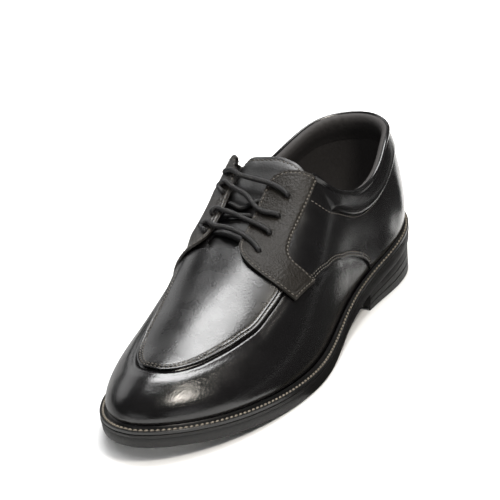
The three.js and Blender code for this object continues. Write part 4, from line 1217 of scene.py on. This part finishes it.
# ---- Sole ----
def margin(x):
    return np.interp(np.asarray(x) / UPPER_LENGTH, MARGIN[:, 0], MARGIN[:, 1])


def welt_bottom(x):
    return foot_z(x) - WELT_THICK


def sole_top(x):
    return welt_bottom(x) - FIT


def sole_bottom(x):
    return np.maximum(0, sole_top(x) - SOLE_THICK - FLAT_CUT)


def ring(t, out, z):
    """Points round the foot line, moved out and set at a height, both functions of x."""
    q = station(t)
    foot = plan(q)
    flat = foot + outward(q) * np.asarray(out(foot[..., 0]), float)[..., None]
    return np.concatenate([flat, np.broadcast_to(z(foot[..., 0]), flat.shape[:1])[..., None]], axis=-1)


def lofted(name, levels, bridges=7):
    """Closed body of rings from its top inside round its side to its bottom inside,
    bridged across from side to side."""
    t = np.linspace(0, HALF, 241)
    outer = np.stack([ring(t, out, z) for out, z in levels], axis=1)
    inner = np.stack([ring(2 * HALF - t, out, z) for out, z in levels], axis=1)
    inner[0] = outer[0]
    inner[-1] = outer[-1]
    shares = np.linspace(0, 1, bridges + 2)[1:-1][None, :, None]
    under = mix(outer[:, -1:], inner[:, -1:], shares)
    above = mix(inner[:, :1], outer[:, :1], shares)
    loop = np.concatenate([outer, under, inner[:, ::-1], above, outer[:, :1]], axis=1)
    return wrapped(name, loop, closed=True)


def welt_piece():
    """Welt: an upright bead against the upper, a channel for the stitches and a flat edge."""
    t = np.linspace(0, 2 * HALF, 601)
    bead = FIT + BEAD_LEAN
    rows = [
        (lambda x: 0 * x + FIT, lambda x: welt_bottom(x)),
        (lambda x: margin(x) - 0.2, lambda x: welt_bottom(x)),
        (lambda x: margin(x), lambda x: welt_bottom(x) + 0.2),
        (lambda x: margin(x), lambda x: foot_z(x) - 0.55),
        (lambda x: margin(x) - 0.25, lambda x: foot_z(x) - 0.25),
        (lambda x: margin(x) * 0.92 - 0.25, lambda x: foot_z(x) - 0.18),
        (lambda x: margin(x) * 0.84 - 0.2, lambda x: foot_z(x) - 0.45),
        (lambda x: margin(x) * 0.70 - 0.1, lambda x: foot_z(x) - 0.75),
        (lambda x: bead + 1.75 + 0 * x, lambda x: foot_z(x) - 0.55),
        (lambda x: bead + 1.45 + 0 * x, lambda x: foot_z(x) + 0.05),
        (lambda x: bead + 1.25 + 0 * x, lambda x: foot_z(x) + 0.6),
        (lambda x: bead + 0.85 + 0 * x, lambda x: foot_z(x) + 0.92),
        (lambda x: bead + 0.40 + 0 * x, lambda x: foot_z(x) + 0.95),
        (lambda x: bead + 0.02 + 0 * x, lambda x: foot_z(x) + 0.7),
        (lambda x: FIT + BEAD_LEAN * 0.35 + 0 * x, lambda x: foot_z(x)),
    ]
    rows.append(rows[0])
    points = np.stack([ring(t, out, z) for out, z in rows], axis=1)
    piece = wrapped("welt_strip", points, closed=True)
    return piece


def outsole_piece():
    """Outsole body: a stepped edge, an arched waist and a sunk field for the lugs."""
    def sunk(x):
        return LUG_DEEP * smooth_step(x, TREAD_REAR * UPPER_LENGTH - 0.4, TREAD_REAR * UPPER_LENGTH + 0.4)
    levels = [
        (lambda x: margin(x) - 12, sole_top),
        (lambda x: margin(x) - 0.35, sole_top),
        (lambda x: margin(x) - 0.05, lambda x: sole_top(x) - 0.3),
        (lambda x: margin(x), lambda x: sole_top(x) - SOLE_STEP_DOWN + 0.25),
        (lambda x: margin(x) - 0.18, lambda x: sole_top(x) - SOLE_STEP_DOWN),
        (lambda x: margin(x) - SOLE_STEP - 0.1, lambda x: sole_top(x) - SOLE_STEP_DOWN - 0.15),
        (lambda x: margin(x) - SOLE_STEP + 0.05, lambda x: sole_top(x) - SOLE_STEP_DOWN - 0.5),
        (lambda x: margin(x) - SOLE_STEP + 0.12, lambda x: mix(sole_bottom(x), sole_top(x), 0.4)),
        (lambda x: margin(x) - SOLE_STEP - 0.05, lambda x: sole_bottom(x) + 1.1),
        (lambda x: margin(x) - SOLE_STEP - 0.3, lambda x: sole_bottom(x) + 0.35),
        (lambda x: margin(x) - SOLE_STEP - 0.8, lambda x: sole_bottom(x)),
        (lambda x: margin(x) - TREAD_MARGIN + LUG_GAP, lambda x: sole_bottom(x)),
        (lambda x: margin(x) - TREAD_MARGIN + LUG_GAP - 0.05, lambda x: sole_bottom(x) + sunk(x)),
        (lambda x: margin(x) - 16, lambda x: sole_bottom(x) + sunk(x)),
    ]
    return lofted("outsole_body", levels)


def heel_piece():
    """Heel block under the seat, its side grooved twice, its breast square."""
    def top(x):
        return np.maximum(sole_bottom(x) - FIT, 1)
    levels = [(lambda x: margin(x) - 12, top)]
    for lift, inset, groove in HEEL_SIDE[::-1]:
        levels.append((
            lambda x, i=inset, g=groove: (
                margin(x) - SOLE_STEP - HEEL_INSET - i * HEEL_TAPER - g * HEEL_GROOVE),
            lambda x, share=lift: share * top(x)))
    levels += [
        (lambda x: margin(x) - HEEL_MARGIN + LUG_GAP, lambda x: 0 * x),
        (lambda x: margin(x) - HEEL_MARGIN + LUG_GAP - 0.05, lambda x: 0 * x + LUG_DEEP),
        (lambda x: margin(x) - 14, lambda x: 0 * x + LUG_DEEP),
    ]
    piece = lofted("heel_block", levels)
    breast = (HEEL_BREAST * UPPER_LENGTH - ORIGIN[0]) / 1000
    pick(piece)
    bpy.ops.object.mode_set(mode="EDIT")
    bpy.ops.mesh.select_all(action="SELECT")
    bpy.ops.mesh.bisect(plane_co=(breast, 0, 0), plane_no=(1, 0, 0), use_fill=True, clear_outer=True)
    bpy.ops.object.mode_set(mode="OBJECT")
    return piece


def lugs_piece(name, inset, x0, x1, bottom):
    """Lugs in rows, cut to the field inside the sole's edge and set on the floor side."""
    boxes = []
    for k in range(int(math.ceil(x0 / LUG_LONG)) - 1, int(x1 / LUG_LONG) + 1):
        low, high = max(k * LUG_LONG + LUG_GAP, x0), min((k + 1) * LUG_LONG, x1)
        if high - low < 1:
            continue
        for m in range(-6, 6):
            boxes.append((low, high, m * LUG_WIDE + LUG_GAP, (m + 1) * LUG_WIDE))
    deselect()
    bpy.ops.mesh.primitive_cube_add(size=1)
    lug = bpy.context.object
    shape = np.array([v.co[:] for v in lug.data.vertices])
    faces = [list(p.vertices) for p in lug.data.polygons]
    bpy.data.objects.remove(lug)
    points, polygons = [], []
    for low, high, left, right in boxes:
        middle = np.array([(low + high) / 2, (left + right) / 2, 2.0])
        size = np.array([high - low, right - left, 8.0])
        base = len(points) * len(shape)
        points.append(middle + shape * size)
        polygons += [[base + v for v in face] for face in faces]
    lugs = from_arrays(name, np.concatenate(points), polygons)
    t = np.linspace(0, 2 * HALF, 241)
    edge = ring(t, lambda x: margin(x) - inset, lambda x: 0 * x)
    walls = np.stack([edge + [0, 0, z] for z in (-1.0, 5.0)], axis=1)
    centre = np.repeat(walls.mean(axis=0, keepdims=True), len(t), axis=0)
    field_net = np.concatenate([centre[:, :1], walls, centre[:, 1:]], axis=1)
    field = wrapped(name + "_field", field_net, closed=True)
    modify(lugs, "BOOLEAN", operation="INTERSECT", object=field, solver="MANIFOLD")
    bpy.data.objects.remove(field)
    in_edit(lugs, lambda: bpy.ops.mesh.dissolve_degenerate(threshold=0.00001))
    co = np.zeros(len(lugs.data.vertices) * 3)
    lugs.data.vertices.foreach_get("co", co)
    co = co.reshape(-1, 3) * 1000 + ORIGIN
    co[:, 2] = bottom(co[:, 0]) + np.where(co[:, 2] < 0.5, 0.02, LUG_DEEP + 0.3)
    lugs.data.vertices.foreach_set("co", to_part(co).ravel())
    lugs.data.update()
    round_edges(lugs, 0.25, segments=1)
    return lugs


def insole_piece():
    """Insole with a soft rise near its edge, following the foot line."""
    def inside(x):
        return 0 * x - WALL - FIT
    levels = [
        (lambda x: inside(x) - 15, lambda x: welt_bottom(x) + INSOLE_THICK - 0.25),
        (lambda x: inside(x) - 7, lambda x: welt_bottom(x) + INSOLE_THICK - 0.1),
        (lambda x: inside(x) - 2.5, lambda x: welt_bottom(x) + INSOLE_THICK + 0.1),
        (lambda x: inside(x) - 0.9, lambda x: welt_bottom(x) + INSOLE_THICK),
        (lambda x: inside(x), lambda x: welt_bottom(x) + INSOLE_THICK - 0.5),
        (inside, lambda x: welt_bottom(x) + 0.2),
        (lambda x: inside(x) - 10, lambda x: welt_bottom(x) + 0.05),
    ]
    return lofted("insole_sock", levels)


# ---- Stitching ----
def from_arrays(name, points, polygons):
    """Mesh object from points in last millimetres and lists of corners."""
    mesh = bpy.data.meshes.new(name)
    mesh.from_pydata(to_part(points).tolist(), [], polygons)
    mesh.update()
    piece = bpy.data.objects.new(name, mesh)
    bpy.context.scene.collection.objects.link(piece)
    return piece


def stitch_shape():
    """One stitch: a short rounded thread whose ends dip into the leather."""
    deselect()
    bpy.ops.mesh.primitive_uv_sphere_add(segments=6, ring_count=5, radius=0.5)
    ball = bpy.context.object
    in_edit(ball, lambda: bpy.ops.transform.rotate(
        value=math.pi / 2, orient_axis="Y", center_override=(0, 0, 0)))
    shape = np.array([v.co[:] for v in ball.data.vertices])
    faces = [list(p.vertices) for p in ball.data.polygons]
    bpy.data.objects.remove(ball)
    shape[:, 2] -= 0.9 * shape[:, 0] ** 2
    return shape, faces


def stitch_row(path, normals, pitch, length, width, shape, faces, lean=0.14, sink=0.0):
    """Stitches spaced along a path, each turned a little off its line."""
    walked = np.concatenate([[0], np.cumsum(np.linalg.norm(np.diff(path, axis=0), axis=1))])
    count = max(int(walked[-1] / pitch), 1)
    marks = (np.arange(count) + 0.5) * walked[-1] / count
    at = np.stack([np.interp(marks, walked, path[:, k]) for k in range(3)], -1)
    ahead = np.stack([np.interp(marks + 0.5, walked, path[:, k]) for k in range(3)], -1)
    behind = np.stack([np.interp(marks - 0.5, walked, path[:, k]) for k in range(3)], -1)
    up = np.stack([np.interp(marks, walked, normals[:, k]) for k in range(3)], -1)
    up /= np.linalg.norm(up, axis=1, keepdims=True)
    along = ahead - behind
    along -= up * (along * up).sum(1, keepdims=True)
    along /= np.linalg.norm(along, axis=1, keepdims=True)
    side = np.cross(up, along)
    turned = along * math.cos(lean) + side * math.sin(lean)
    side = np.cross(up, turned)
    points, polygons = [], []
    for k in range(count):
        local = shape * [length, width, width * 0.8]
        base = k * len(shape)
        points.append(
            at[k] + local[:, :1] * turned[k] + local[:, 1:2] * side[k] + (local[:, 2:] - sink) * up[k])
        polygons += [[base + v for v in face] for face in faces]
    return np.concatenate(points), polygons


def leather_path(t, up, off):
    q = station(t)
    return on(t, up, np.broadcast_to(np.asarray(off, float), np.shape(t))), skin_normal(q, up)


def inset_line(line, inset, count=200):
    """Line moved sideways in the plane of the leather, to the right of its run."""
    flat = resample(line, count) * [UPPER_LENGTH, 1]
    run = np.gradient(flat, axis=0)
    run /= np.linalg.norm(run, axis=1, keepdims=True)
    moved = flat + np.stack([-run[:, 1], run[:, 0]], -1) * inset
    return moved / [UPPER_LENGTH, 1]


def stitched_lines():
    """Every stitch line on the leather as (path, normals, pitch, length, width)."""
    sizes = bpy.context.scene.chef_shoe_sizes
    pitch, length, width = sizes.stitch_pitch * 1000, sizes.stitch_length * 1000, sizes.thread_width * 1000
    lines = []

    rear = float(column_of(OUTER, 0.628))
    t = np.linspace(rear, 2 * HALF - rear, 400)
    for inset, sunk in ((1.5, 0.38), (3.2, 0.24)):
        up = up_at(t, np.maximum(apron_out(t) - inset, 1.0))
        lines.append(leather_path(t, up, OVERLAY_FIT + OVERLAY - sunk + 0.14) + (pitch, length, width))

    for side in (OUTER, INNER):
        sign = 1 if side == OUTER else -1
        head, front, foot, back = facing_edges(side)
        border = np.concatenate([head[::-1], front[1:]])
        centre = np.array([0.5 * UPPER_LENGTH, 28.0])
        for line, insets in ((border, (1.4,)), (foot, (1.4,)), (back, (1.1,))):
            for inset in insets:
                moved = inset_line(line, inset)
                if np.linalg.norm(moved[100] * [UPPER_LENGTH, 1] - centre) > \
                        np.linalg.norm(inset_line(line, -inset)[100] * [UPPER_LENGTH, 1] - centre):
                    moved = inset_line(line, -inset)
                moved = moved[3:-3]
                t, up = place(moved[:, 0], moved[:, 1] * sign)
                rise = FACING_FIT + OVERLAY + facing_lift(moved[:, 0], moved[:, 1], side) - 0.02
                if line is back:
                    skived = mix(0.55, 1.2, smooth_step(moved[:, 0], 0.445, 0.475))
                    rise = rise - skived * (1 - smooth_step(inset, -0.6, 3.0))
                wide = 1.35 if line is back else 1.0
                lines.append(leather_path(t, up, rise) + (pitch, length, width * wide))

        ends = [float(column_of(side, 0.286)), float(column_of(side, 0.556))]
        t = np.linspace(ends[0], ends[1], 200)
        whole = distance_at(t, np.zeros_like(t))
        for inset in (1.5, 3.1):
            up = up_at(t, whole - climb(t, quarter_line(t)) - inset)
            lines.append(leather_path(t, up, 0.55 - 0.1) + (pitch, length, width))

    first, last = collar_ends()
    t = np.linspace(first, last, 300)
    low = distance_at(t, collar_seam(t, collar_top(t)))
    lines.append(leather_path(t, up_at(t, low + 1.3), 0.6) + (pitch, length, width))

    for side in (-1, 1):
        t = np.full(60, side * 0.83)
        seam = collar_seam(t, top_up(t))
        lines.append(leather_path(t, seam * np.linspace(0.14, 0.97, 60), FIT + OVERLAY - 0.02)
                     + (pitch, length, width))

    across = np.linspace(-0.86, 0.93, 120)
    out = across * np.where(across > 0, 33.0, 27.0)
    share = 0.3935 - 0.003 * bump_at(out, 8, 7) + 0.012 * np.abs(across) ** 5 + 1.9 / UPPER_LENGTH
    t, up = place(share, out)
    swell = 0.5 * bump_at(share, 0.408, 0.012) - 2.4 * (1 - smooth_step(1.9, -6, 20))
    lines.append(leather_path(t, up, -WALL - FIT + swell) + (pitch, length, width))
    return lines


def stitching_piece():
    """All stitches of the upper, joined in one mesh."""
    shape, faces = stitch_shape()
    points, polygons = [], []
    base = 0
    for path, normals, pitch, length, width in stitched_lines():
        more, corners = stitch_row(path, normals, pitch, length, width, shape, faces)
        points.append(more)
        polygons += [[base + v for v in corner] for corner in corners]
        base += len(more)
    return from_arrays("upper_stitching", np.concatenate(points), polygons)


def welt_stitching_piece():
    """Thick stitches in the welt's channel."""
    sizes = bpy.context.scene.chef_shoe_sizes
    shape, faces = stitch_shape()
    t = np.linspace(0, 2 * HALF, 1201)
    path = ring(t, lambda x: margin(x) * 0.72, lambda x: foot_z(x) - 0.28)
    normals = np.tile([0.0, 0.0, 1.0], (len(t), 1))
    points, polygons = stitch_row(path, normals, sizes.welt_pitch * 1000, sizes.welt_pitch * 830,
                                  sizes.thread_width * 2000, shape, faces, lean=0.3)
    return from_arrays("welt_stitching", points, polygons)


# ---- Properties, operators and panel ----
class ChefShoeSizes(bpy.types.PropertyGroup):
    """Small sizes that can be changed without touching the last."""
    stitch_pitch: bpy.props.FloatProperty(
        name="Stitch pitch", description="Distance from one stitch to the next", default=0.0026,
        unit="LENGTH", subtype="DISTANCE")
    stitch_length: bpy.props.FloatProperty(
        name="Stitch length", description="Length of a stitch on the leather", default=0.0017,
        unit="LENGTH", subtype="DISTANCE")
    thread_width: bpy.props.FloatProperty(
        name="Thread width", description="Thickness of the sewing thread", default=0.0007,
        unit="LENGTH", subtype="DISTANCE")
    welt_pitch: bpy.props.FloatProperty(
        name="Welt stitch pitch", description="Distance between stitches in the welt", default=0.0031,
        unit="LENGTH", subtype="DISTANCE")
    lace_thickness: bpy.props.FloatProperty(
        name="Lace thickness", description="Diameter of the round lace", default=0.003,
        unit="LENGTH", subtype="DISTANCE")


def colour(name, description, value):
    return bpy.props.FloatVectorProperty(
        name=name, description=description, default=value, size=3, min=0, max=1, subtype="COLOR")


class ChefShoeColours(bpy.types.PropertyGroup):
    """Colours of the finishes."""
    leather: colour("Leather", "Black leather of vamp, quarters and collar", (0.0050, 0.0048, 0.0050))
    facing: colour("Facings", "Leather of the facings", (0.0105, 0.0088, 0.0070))
    lining: colour("Lining", "Lining and insole", (0.030, 0.0275, 0.027))
    welt: colour("Welt", "Welt strip", (0.007, 0.007, 0.007))
    rubber: colour("Rubber", "Outsole and heel", (0.0046, 0.0044, 0.0042))
    # Sewing thread colour lightened from black: painted sheen of its highlights.
    thread: colour("Thread", "Sewing thread", (0.085, 0.075, 0.062))
    welt_thread: colour("Welt thread", "Thick thread in the welt", (0.19, 0.165, 0.13))
    lace: colour("Lace", "Waxed lace", (0.0065, 0.0065, 0.007))
    floor: colour("Floor", "Pale floor", (0.86, 0.86, 0.855))


class BuildStep(bpy.types.Operator):
    """Base of the building steps"""
    bl_options = {"REGISTER", "UNDO"}

    def execute(self, context):
        self.build(context)
        return {"FINISHED"}


class SHOE_OT_upper(BuildStep):
    """Build the hollow upper with its lining and the quarters over it"""
    bl_idname = "chef_shoe.upper"
    bl_label = "Upper and quarters"

    def build(self, context):
        upper = upper_piece()
        for side in (OUTER, INNER):
            cut(upper, eyelet_cutters(side))
        finish_piece(upper, ["upper"])
        for side in (OUTER, INNER):
            finish_piece(quarter_piece(side), (), [material("quarter_leather")])


class SHOE_OT_apron(BuildStep):
    """Build the raised apron"""
    bl_idname = "chef_shoe.apron"
    bl_label = "Apron"

    def build(self, context):
        finish_piece(apron_piece(), ["apron"], [material("apron_leather")])


class SHOE_OT_facings(BuildStep):
    """Build the two facings, with eyelet holes in the outer one"""
    bl_idname = "chef_shoe.facings"
    bl_label = "Facings"

    def build(self, context):
        for side, replaced in ((OUTER, "facing_outer"), (INNER, "facing_inner")):
            piece = facing_piece(side)
            # The inner facing takes the brighter copy of the facing leather: painted light.
            piece.data.materials.append(material(
                "facing_leather" if side == OUTER else "inner_facing_lit_copy"))
            # The inner net folds at its head corner, so Blender refuses the cut on that side
            cut(piece, eyelet_cutters(side))
            finish_piece(piece, [replaced])


class SHOE_OT_collar(BuildStep):
    """Build the padded collar and the backstay"""
    bl_idname = "chef_shoe.collar"
    bl_label = "Collar and backstay"

    def build(self, context):
        collar = finish_piece(collar_piece(), ["collar"])
        finish_piece(backstay_piece(), ["backstay"], [material("quarter_leather")])


class SHOE_OT_tongue(BuildStep):
    """Build the tongue"""
    bl_idname = "chef_shoe.tongue"
    bl_label = "Tongue"

    def build(self, context):
        finish_piece(tongue_piece(), ["tongue"], [material("tongue_leather")])


class SHOE_OT_laces(BuildStep):
    """Run the lace through the eyelets"""
    bl_idname = "chef_shoe.laces"
    bl_label = "Laces"

    def build(self, context):
        thick = context.scene.chef_shoe_sizes.lace_thickness * 1000
        path, length = even_curve(lace_route(), 0.5)
        print(f"lace length {length:.0f} mm")
        piece = tube("lace_cord", path, thick / 2, 14, length)
        finish_piece(piece, ["laces"], [material("lace")], angle=60)


class SHOE_OT_sole(BuildStep):
    """Build insole, welt, outsole and heel with their lugs"""
    bl_idname = "chef_shoe.sole"
    bl_label = "Sole"

    def build(self, context):
        finish_piece(insole_piece(), ["insole"], [material("sock")])
        finish_piece(welt_piece(), ["welt"], [material("welt")])
        finish_piece(outsole_piece(), ["outsole"], [material("rubber")])
        finish_piece(heel_piece(), ["heel"], [material("rubber")])
        rear = TREAD_REAR * UPPER_LENGTH
        breast = HEEL_BREAST * UPPER_LENGTH
        tread = lugs_piece("outsole_lugs", TREAD_MARGIN, rear, UPPER_LENGTH, sole_bottom)
        finish_piece(tread, (), [material("rubber")])
        heel = lugs_piece("heel_lugs", HEEL_MARGIN, 0.0, breast - HEEL_MARGIN, lambda x: 0 * x)
        finish_piece(heel, (), [material("rubber")])


class SHOE_OT_stitching(BuildStep):
    """Sew the seams of the upper and the welt"""
    bl_idname = "chef_shoe.stitching"
    bl_label = "Stitching"

    def build(self, context):
        finish_piece(stitching_piece(), (), [material("thread")])
        finish_piece(welt_stitching_piece(), (), [material("welt_thread")])


class SHOE_OT_stage(BuildStep):
    """Set the floor, the lights and the camera"""
    bl_idname = "chef_shoe.stage"
    bl_label = "Stage"

    def build(self, context):
        stage(context)


def painted_reflection_card(name, tone, corners):
    """Card on the floor that only glossy reflections see, hidden from the camera and casting no shadow: a
    painted dark reflection on the leather.
    """
    deselect()
    bpy.ops.mesh.primitive_circle_add(vertices=len(corners), fill_type="NGON")
    card = bpy.context.object
    card.name = name
    card.data.vertices.foreach_set("co", np.array([(x, y, 0.0004) for x, y in corners]).ravel())
    finish, tree, shader = blank(name)
    shader.inputs["Base Color"].default_value = (tone, tone, tone, 1)
    shader.inputs["Roughness"].default_value = 1.0
    card.data.materials.append(finish)
    card.visible_camera = card.visible_shadow = card.visible_diffuse = False


def stage(context):
    colours = context.scene.chef_shoe_colours
    deselect()
    bpy.ops.mesh.primitive_plane_add(size=12, location=(0, 0, -0.0002))
    floor = bpy.context.object
    floor.name = "floor"
    finish, tree, shader = blank("floor")
    shader.inputs["Base Color"].default_value = (*colours.floor, 1)
    shader.inputs["Roughness"].default_value = 0.9
    floor.data.materials.append(finish)

    world = bpy.data.worlds.new("studio")
    world.use_nodes = True
    sky = world.node_tree
    dim = sky.nodes["Background"]
    dim.inputs["Color"].default_value = (1, 1, 1, 1)
    dim.inputs["Strength"].default_value = 0.05
    backdrop = sky.nodes.new("ShaderNodeBackground")
    backdrop.inputs["Strength"].default_value = 0.95
    choose = sky.nodes.new("ShaderNodeMixShader")
    sky.links.new(sky.nodes.new("ShaderNodeLightPath").outputs["Is Camera Ray"], choose.inputs["Fac"])
    sky.links.new(dim.outputs["Background"], choose.inputs[1])
    sky.links.new(backdrop.outputs["Background"], choose.inputs[2])
    sky.links.new(choose.outputs["Shader"], sky.nodes["World Output"].inputs["Surface"])
    context.scene.world = world
    context.scene.view_settings.view_transform = "Standard"

    def softbox(name, azimuth, elevation, away, size, radiance, tone=(1, 1, 1)):
        data = bpy.data.lights.new(name, "AREA")
        data.shape = "RECTANGLE"
        data.size, data.size_y = size
        data.energy = radiance * math.pi * size[0] * size[1]
        data.color = tone
        light = bpy.data.objects.new(name, data)
        up, round_z = math.radians(elevation), math.radians(azimuth)
        light.location = (away * math.cos(up) * math.cos(round_z),
                          away * math.cos(up) * math.sin(round_z), away * math.sin(up))
        light.rotation_euler = (math.pi / 2 - up, 0, round_z + math.pi / 2)
        context.scene.collection.objects.link(light)
        return light

    softbox("key_softbox", -166, 72, 1.7, (0.95, 0.80), 14.5)
    softbox("toe_spot", 78, 57, 1.7, (0.36, 0.36), 38, (1.0, 0.94, 0.85))
    softbox("front_fill", -15, 14, 2.2, (2.2, 0.8), 0.75)
    softbox("side_fill", 62, 14, 2.2, (1.2, 0.9), 0.7)
    softbox("inner_fill", -112, 28, 2.2, (1.6, 1.0), 1.3)
    overhead = softbox("overhead_fill", 20, 75, 2.0, (3.0, 3.0), 1.6)
    overhead.visible_glossy = False

    # Near-black card beside the outer side and behind the heel: painted dark reflection in the quarter, the
    # vamp side and the sole edge.
    painted_reflection_card("painted_reflection_card", 0.01, [
        (-0.90, 0.030), (-0.215, 0.034), (-0.205, 0.070), (-0.175, 0.066), (-0.160, 0.045), (-0.105, 0.044),
        (-0.07, 0.034), (0.03, 0.038), (0.085, 0.078), (0.04, 0.60), (-0.90, 0.90)])
    # Grey card beyond the inner side: painted dim reflection along the inner side's lower edges.
    painted_reflection_card("painted_grey_reflection_card", 0.28, [(-0.90, -0.90), (0.60, -0.90), (0.20, -0.052), (-0.90, -0.040)])

    data = bpy.data.cameras.new("camera")
    data.lens = 279.33
    data.sensor_width = 36
    data.clip_end = 20
    camera = bpy.data.objects.new("camera", data)
    turn = mathutils.Vector(CAMERA_TURN)
    looks = mathutils.Quaternion(turn.normalized(), turn.length).to_matrix()
    axes = looks.transposed() @ mathutils.Matrix.Diagonal((1, -1, -1))
    camera.matrix_world = mathutils.Matrix.Translation(to_part(CAMERA_PLACE)) @ axes.to_4x4()
    context.scene.collection.objects.link(camera)
    context.scene.camera = camera


# Camera on the last: its turn as an axis times an angle, and its place in millimetres
CAMERA_TURN = (1.2327, 1.9046, -1.3481)
CAMERA_PLACE = (1876.65, 1010.66, 901.83)


class SHOE_PT_panel(bpy.types.Panel):
    """Sidebar panel with the building steps"""
    bl_label = "Chef shoe"
    bl_idname = "SHOE_PT_panel"
    bl_space_type = "VIEW_3D"
    bl_region_type = "UI"
    bl_category = "Chef shoe"

    def draw(self, context):
        for group in (context.scene.chef_shoe_sizes, context.scene.chef_shoe_colours):
            for key in group.__annotations__:
                self.layout.prop(group, key)
        for step in STEPS:
            self.layout.operator(step.bl_idname)


STEPS = (SHOE_OT_upper, SHOE_OT_apron, SHOE_OT_facings, SHOE_OT_collar, SHOE_OT_tongue,
         SHOE_OT_laces, SHOE_OT_sole, SHOE_OT_stitching, SHOE_OT_stage)
CLASSES = (ChefShoeSizes, ChefShoeColours) + STEPS + (SHOE_PT_panel,)


def register():
    for entry in CLASSES:
        bpy.utils.register_class(entry)
    bpy.types.Scene.chef_shoe_sizes = bpy.props.PointerProperty(type=ChefShoeSizes)
    bpy.types.Scene.chef_shoe_colours = bpy.props.PointerProperty(type=ChefShoeColours)


def unregister():
    del bpy.types.Scene.chef_shoe_colours
    del bpy.types.Scene.chef_shoe_sizes
    for entry in reversed(CLASSES):
        bpy.utils.unregister_class(entry)


def main():
    register()
    for step in STEPS:
        getattr(bpy.ops.chef_shoe, step.bl_idname.split(".")[1])()


if __name__ == "__main__":
    main()
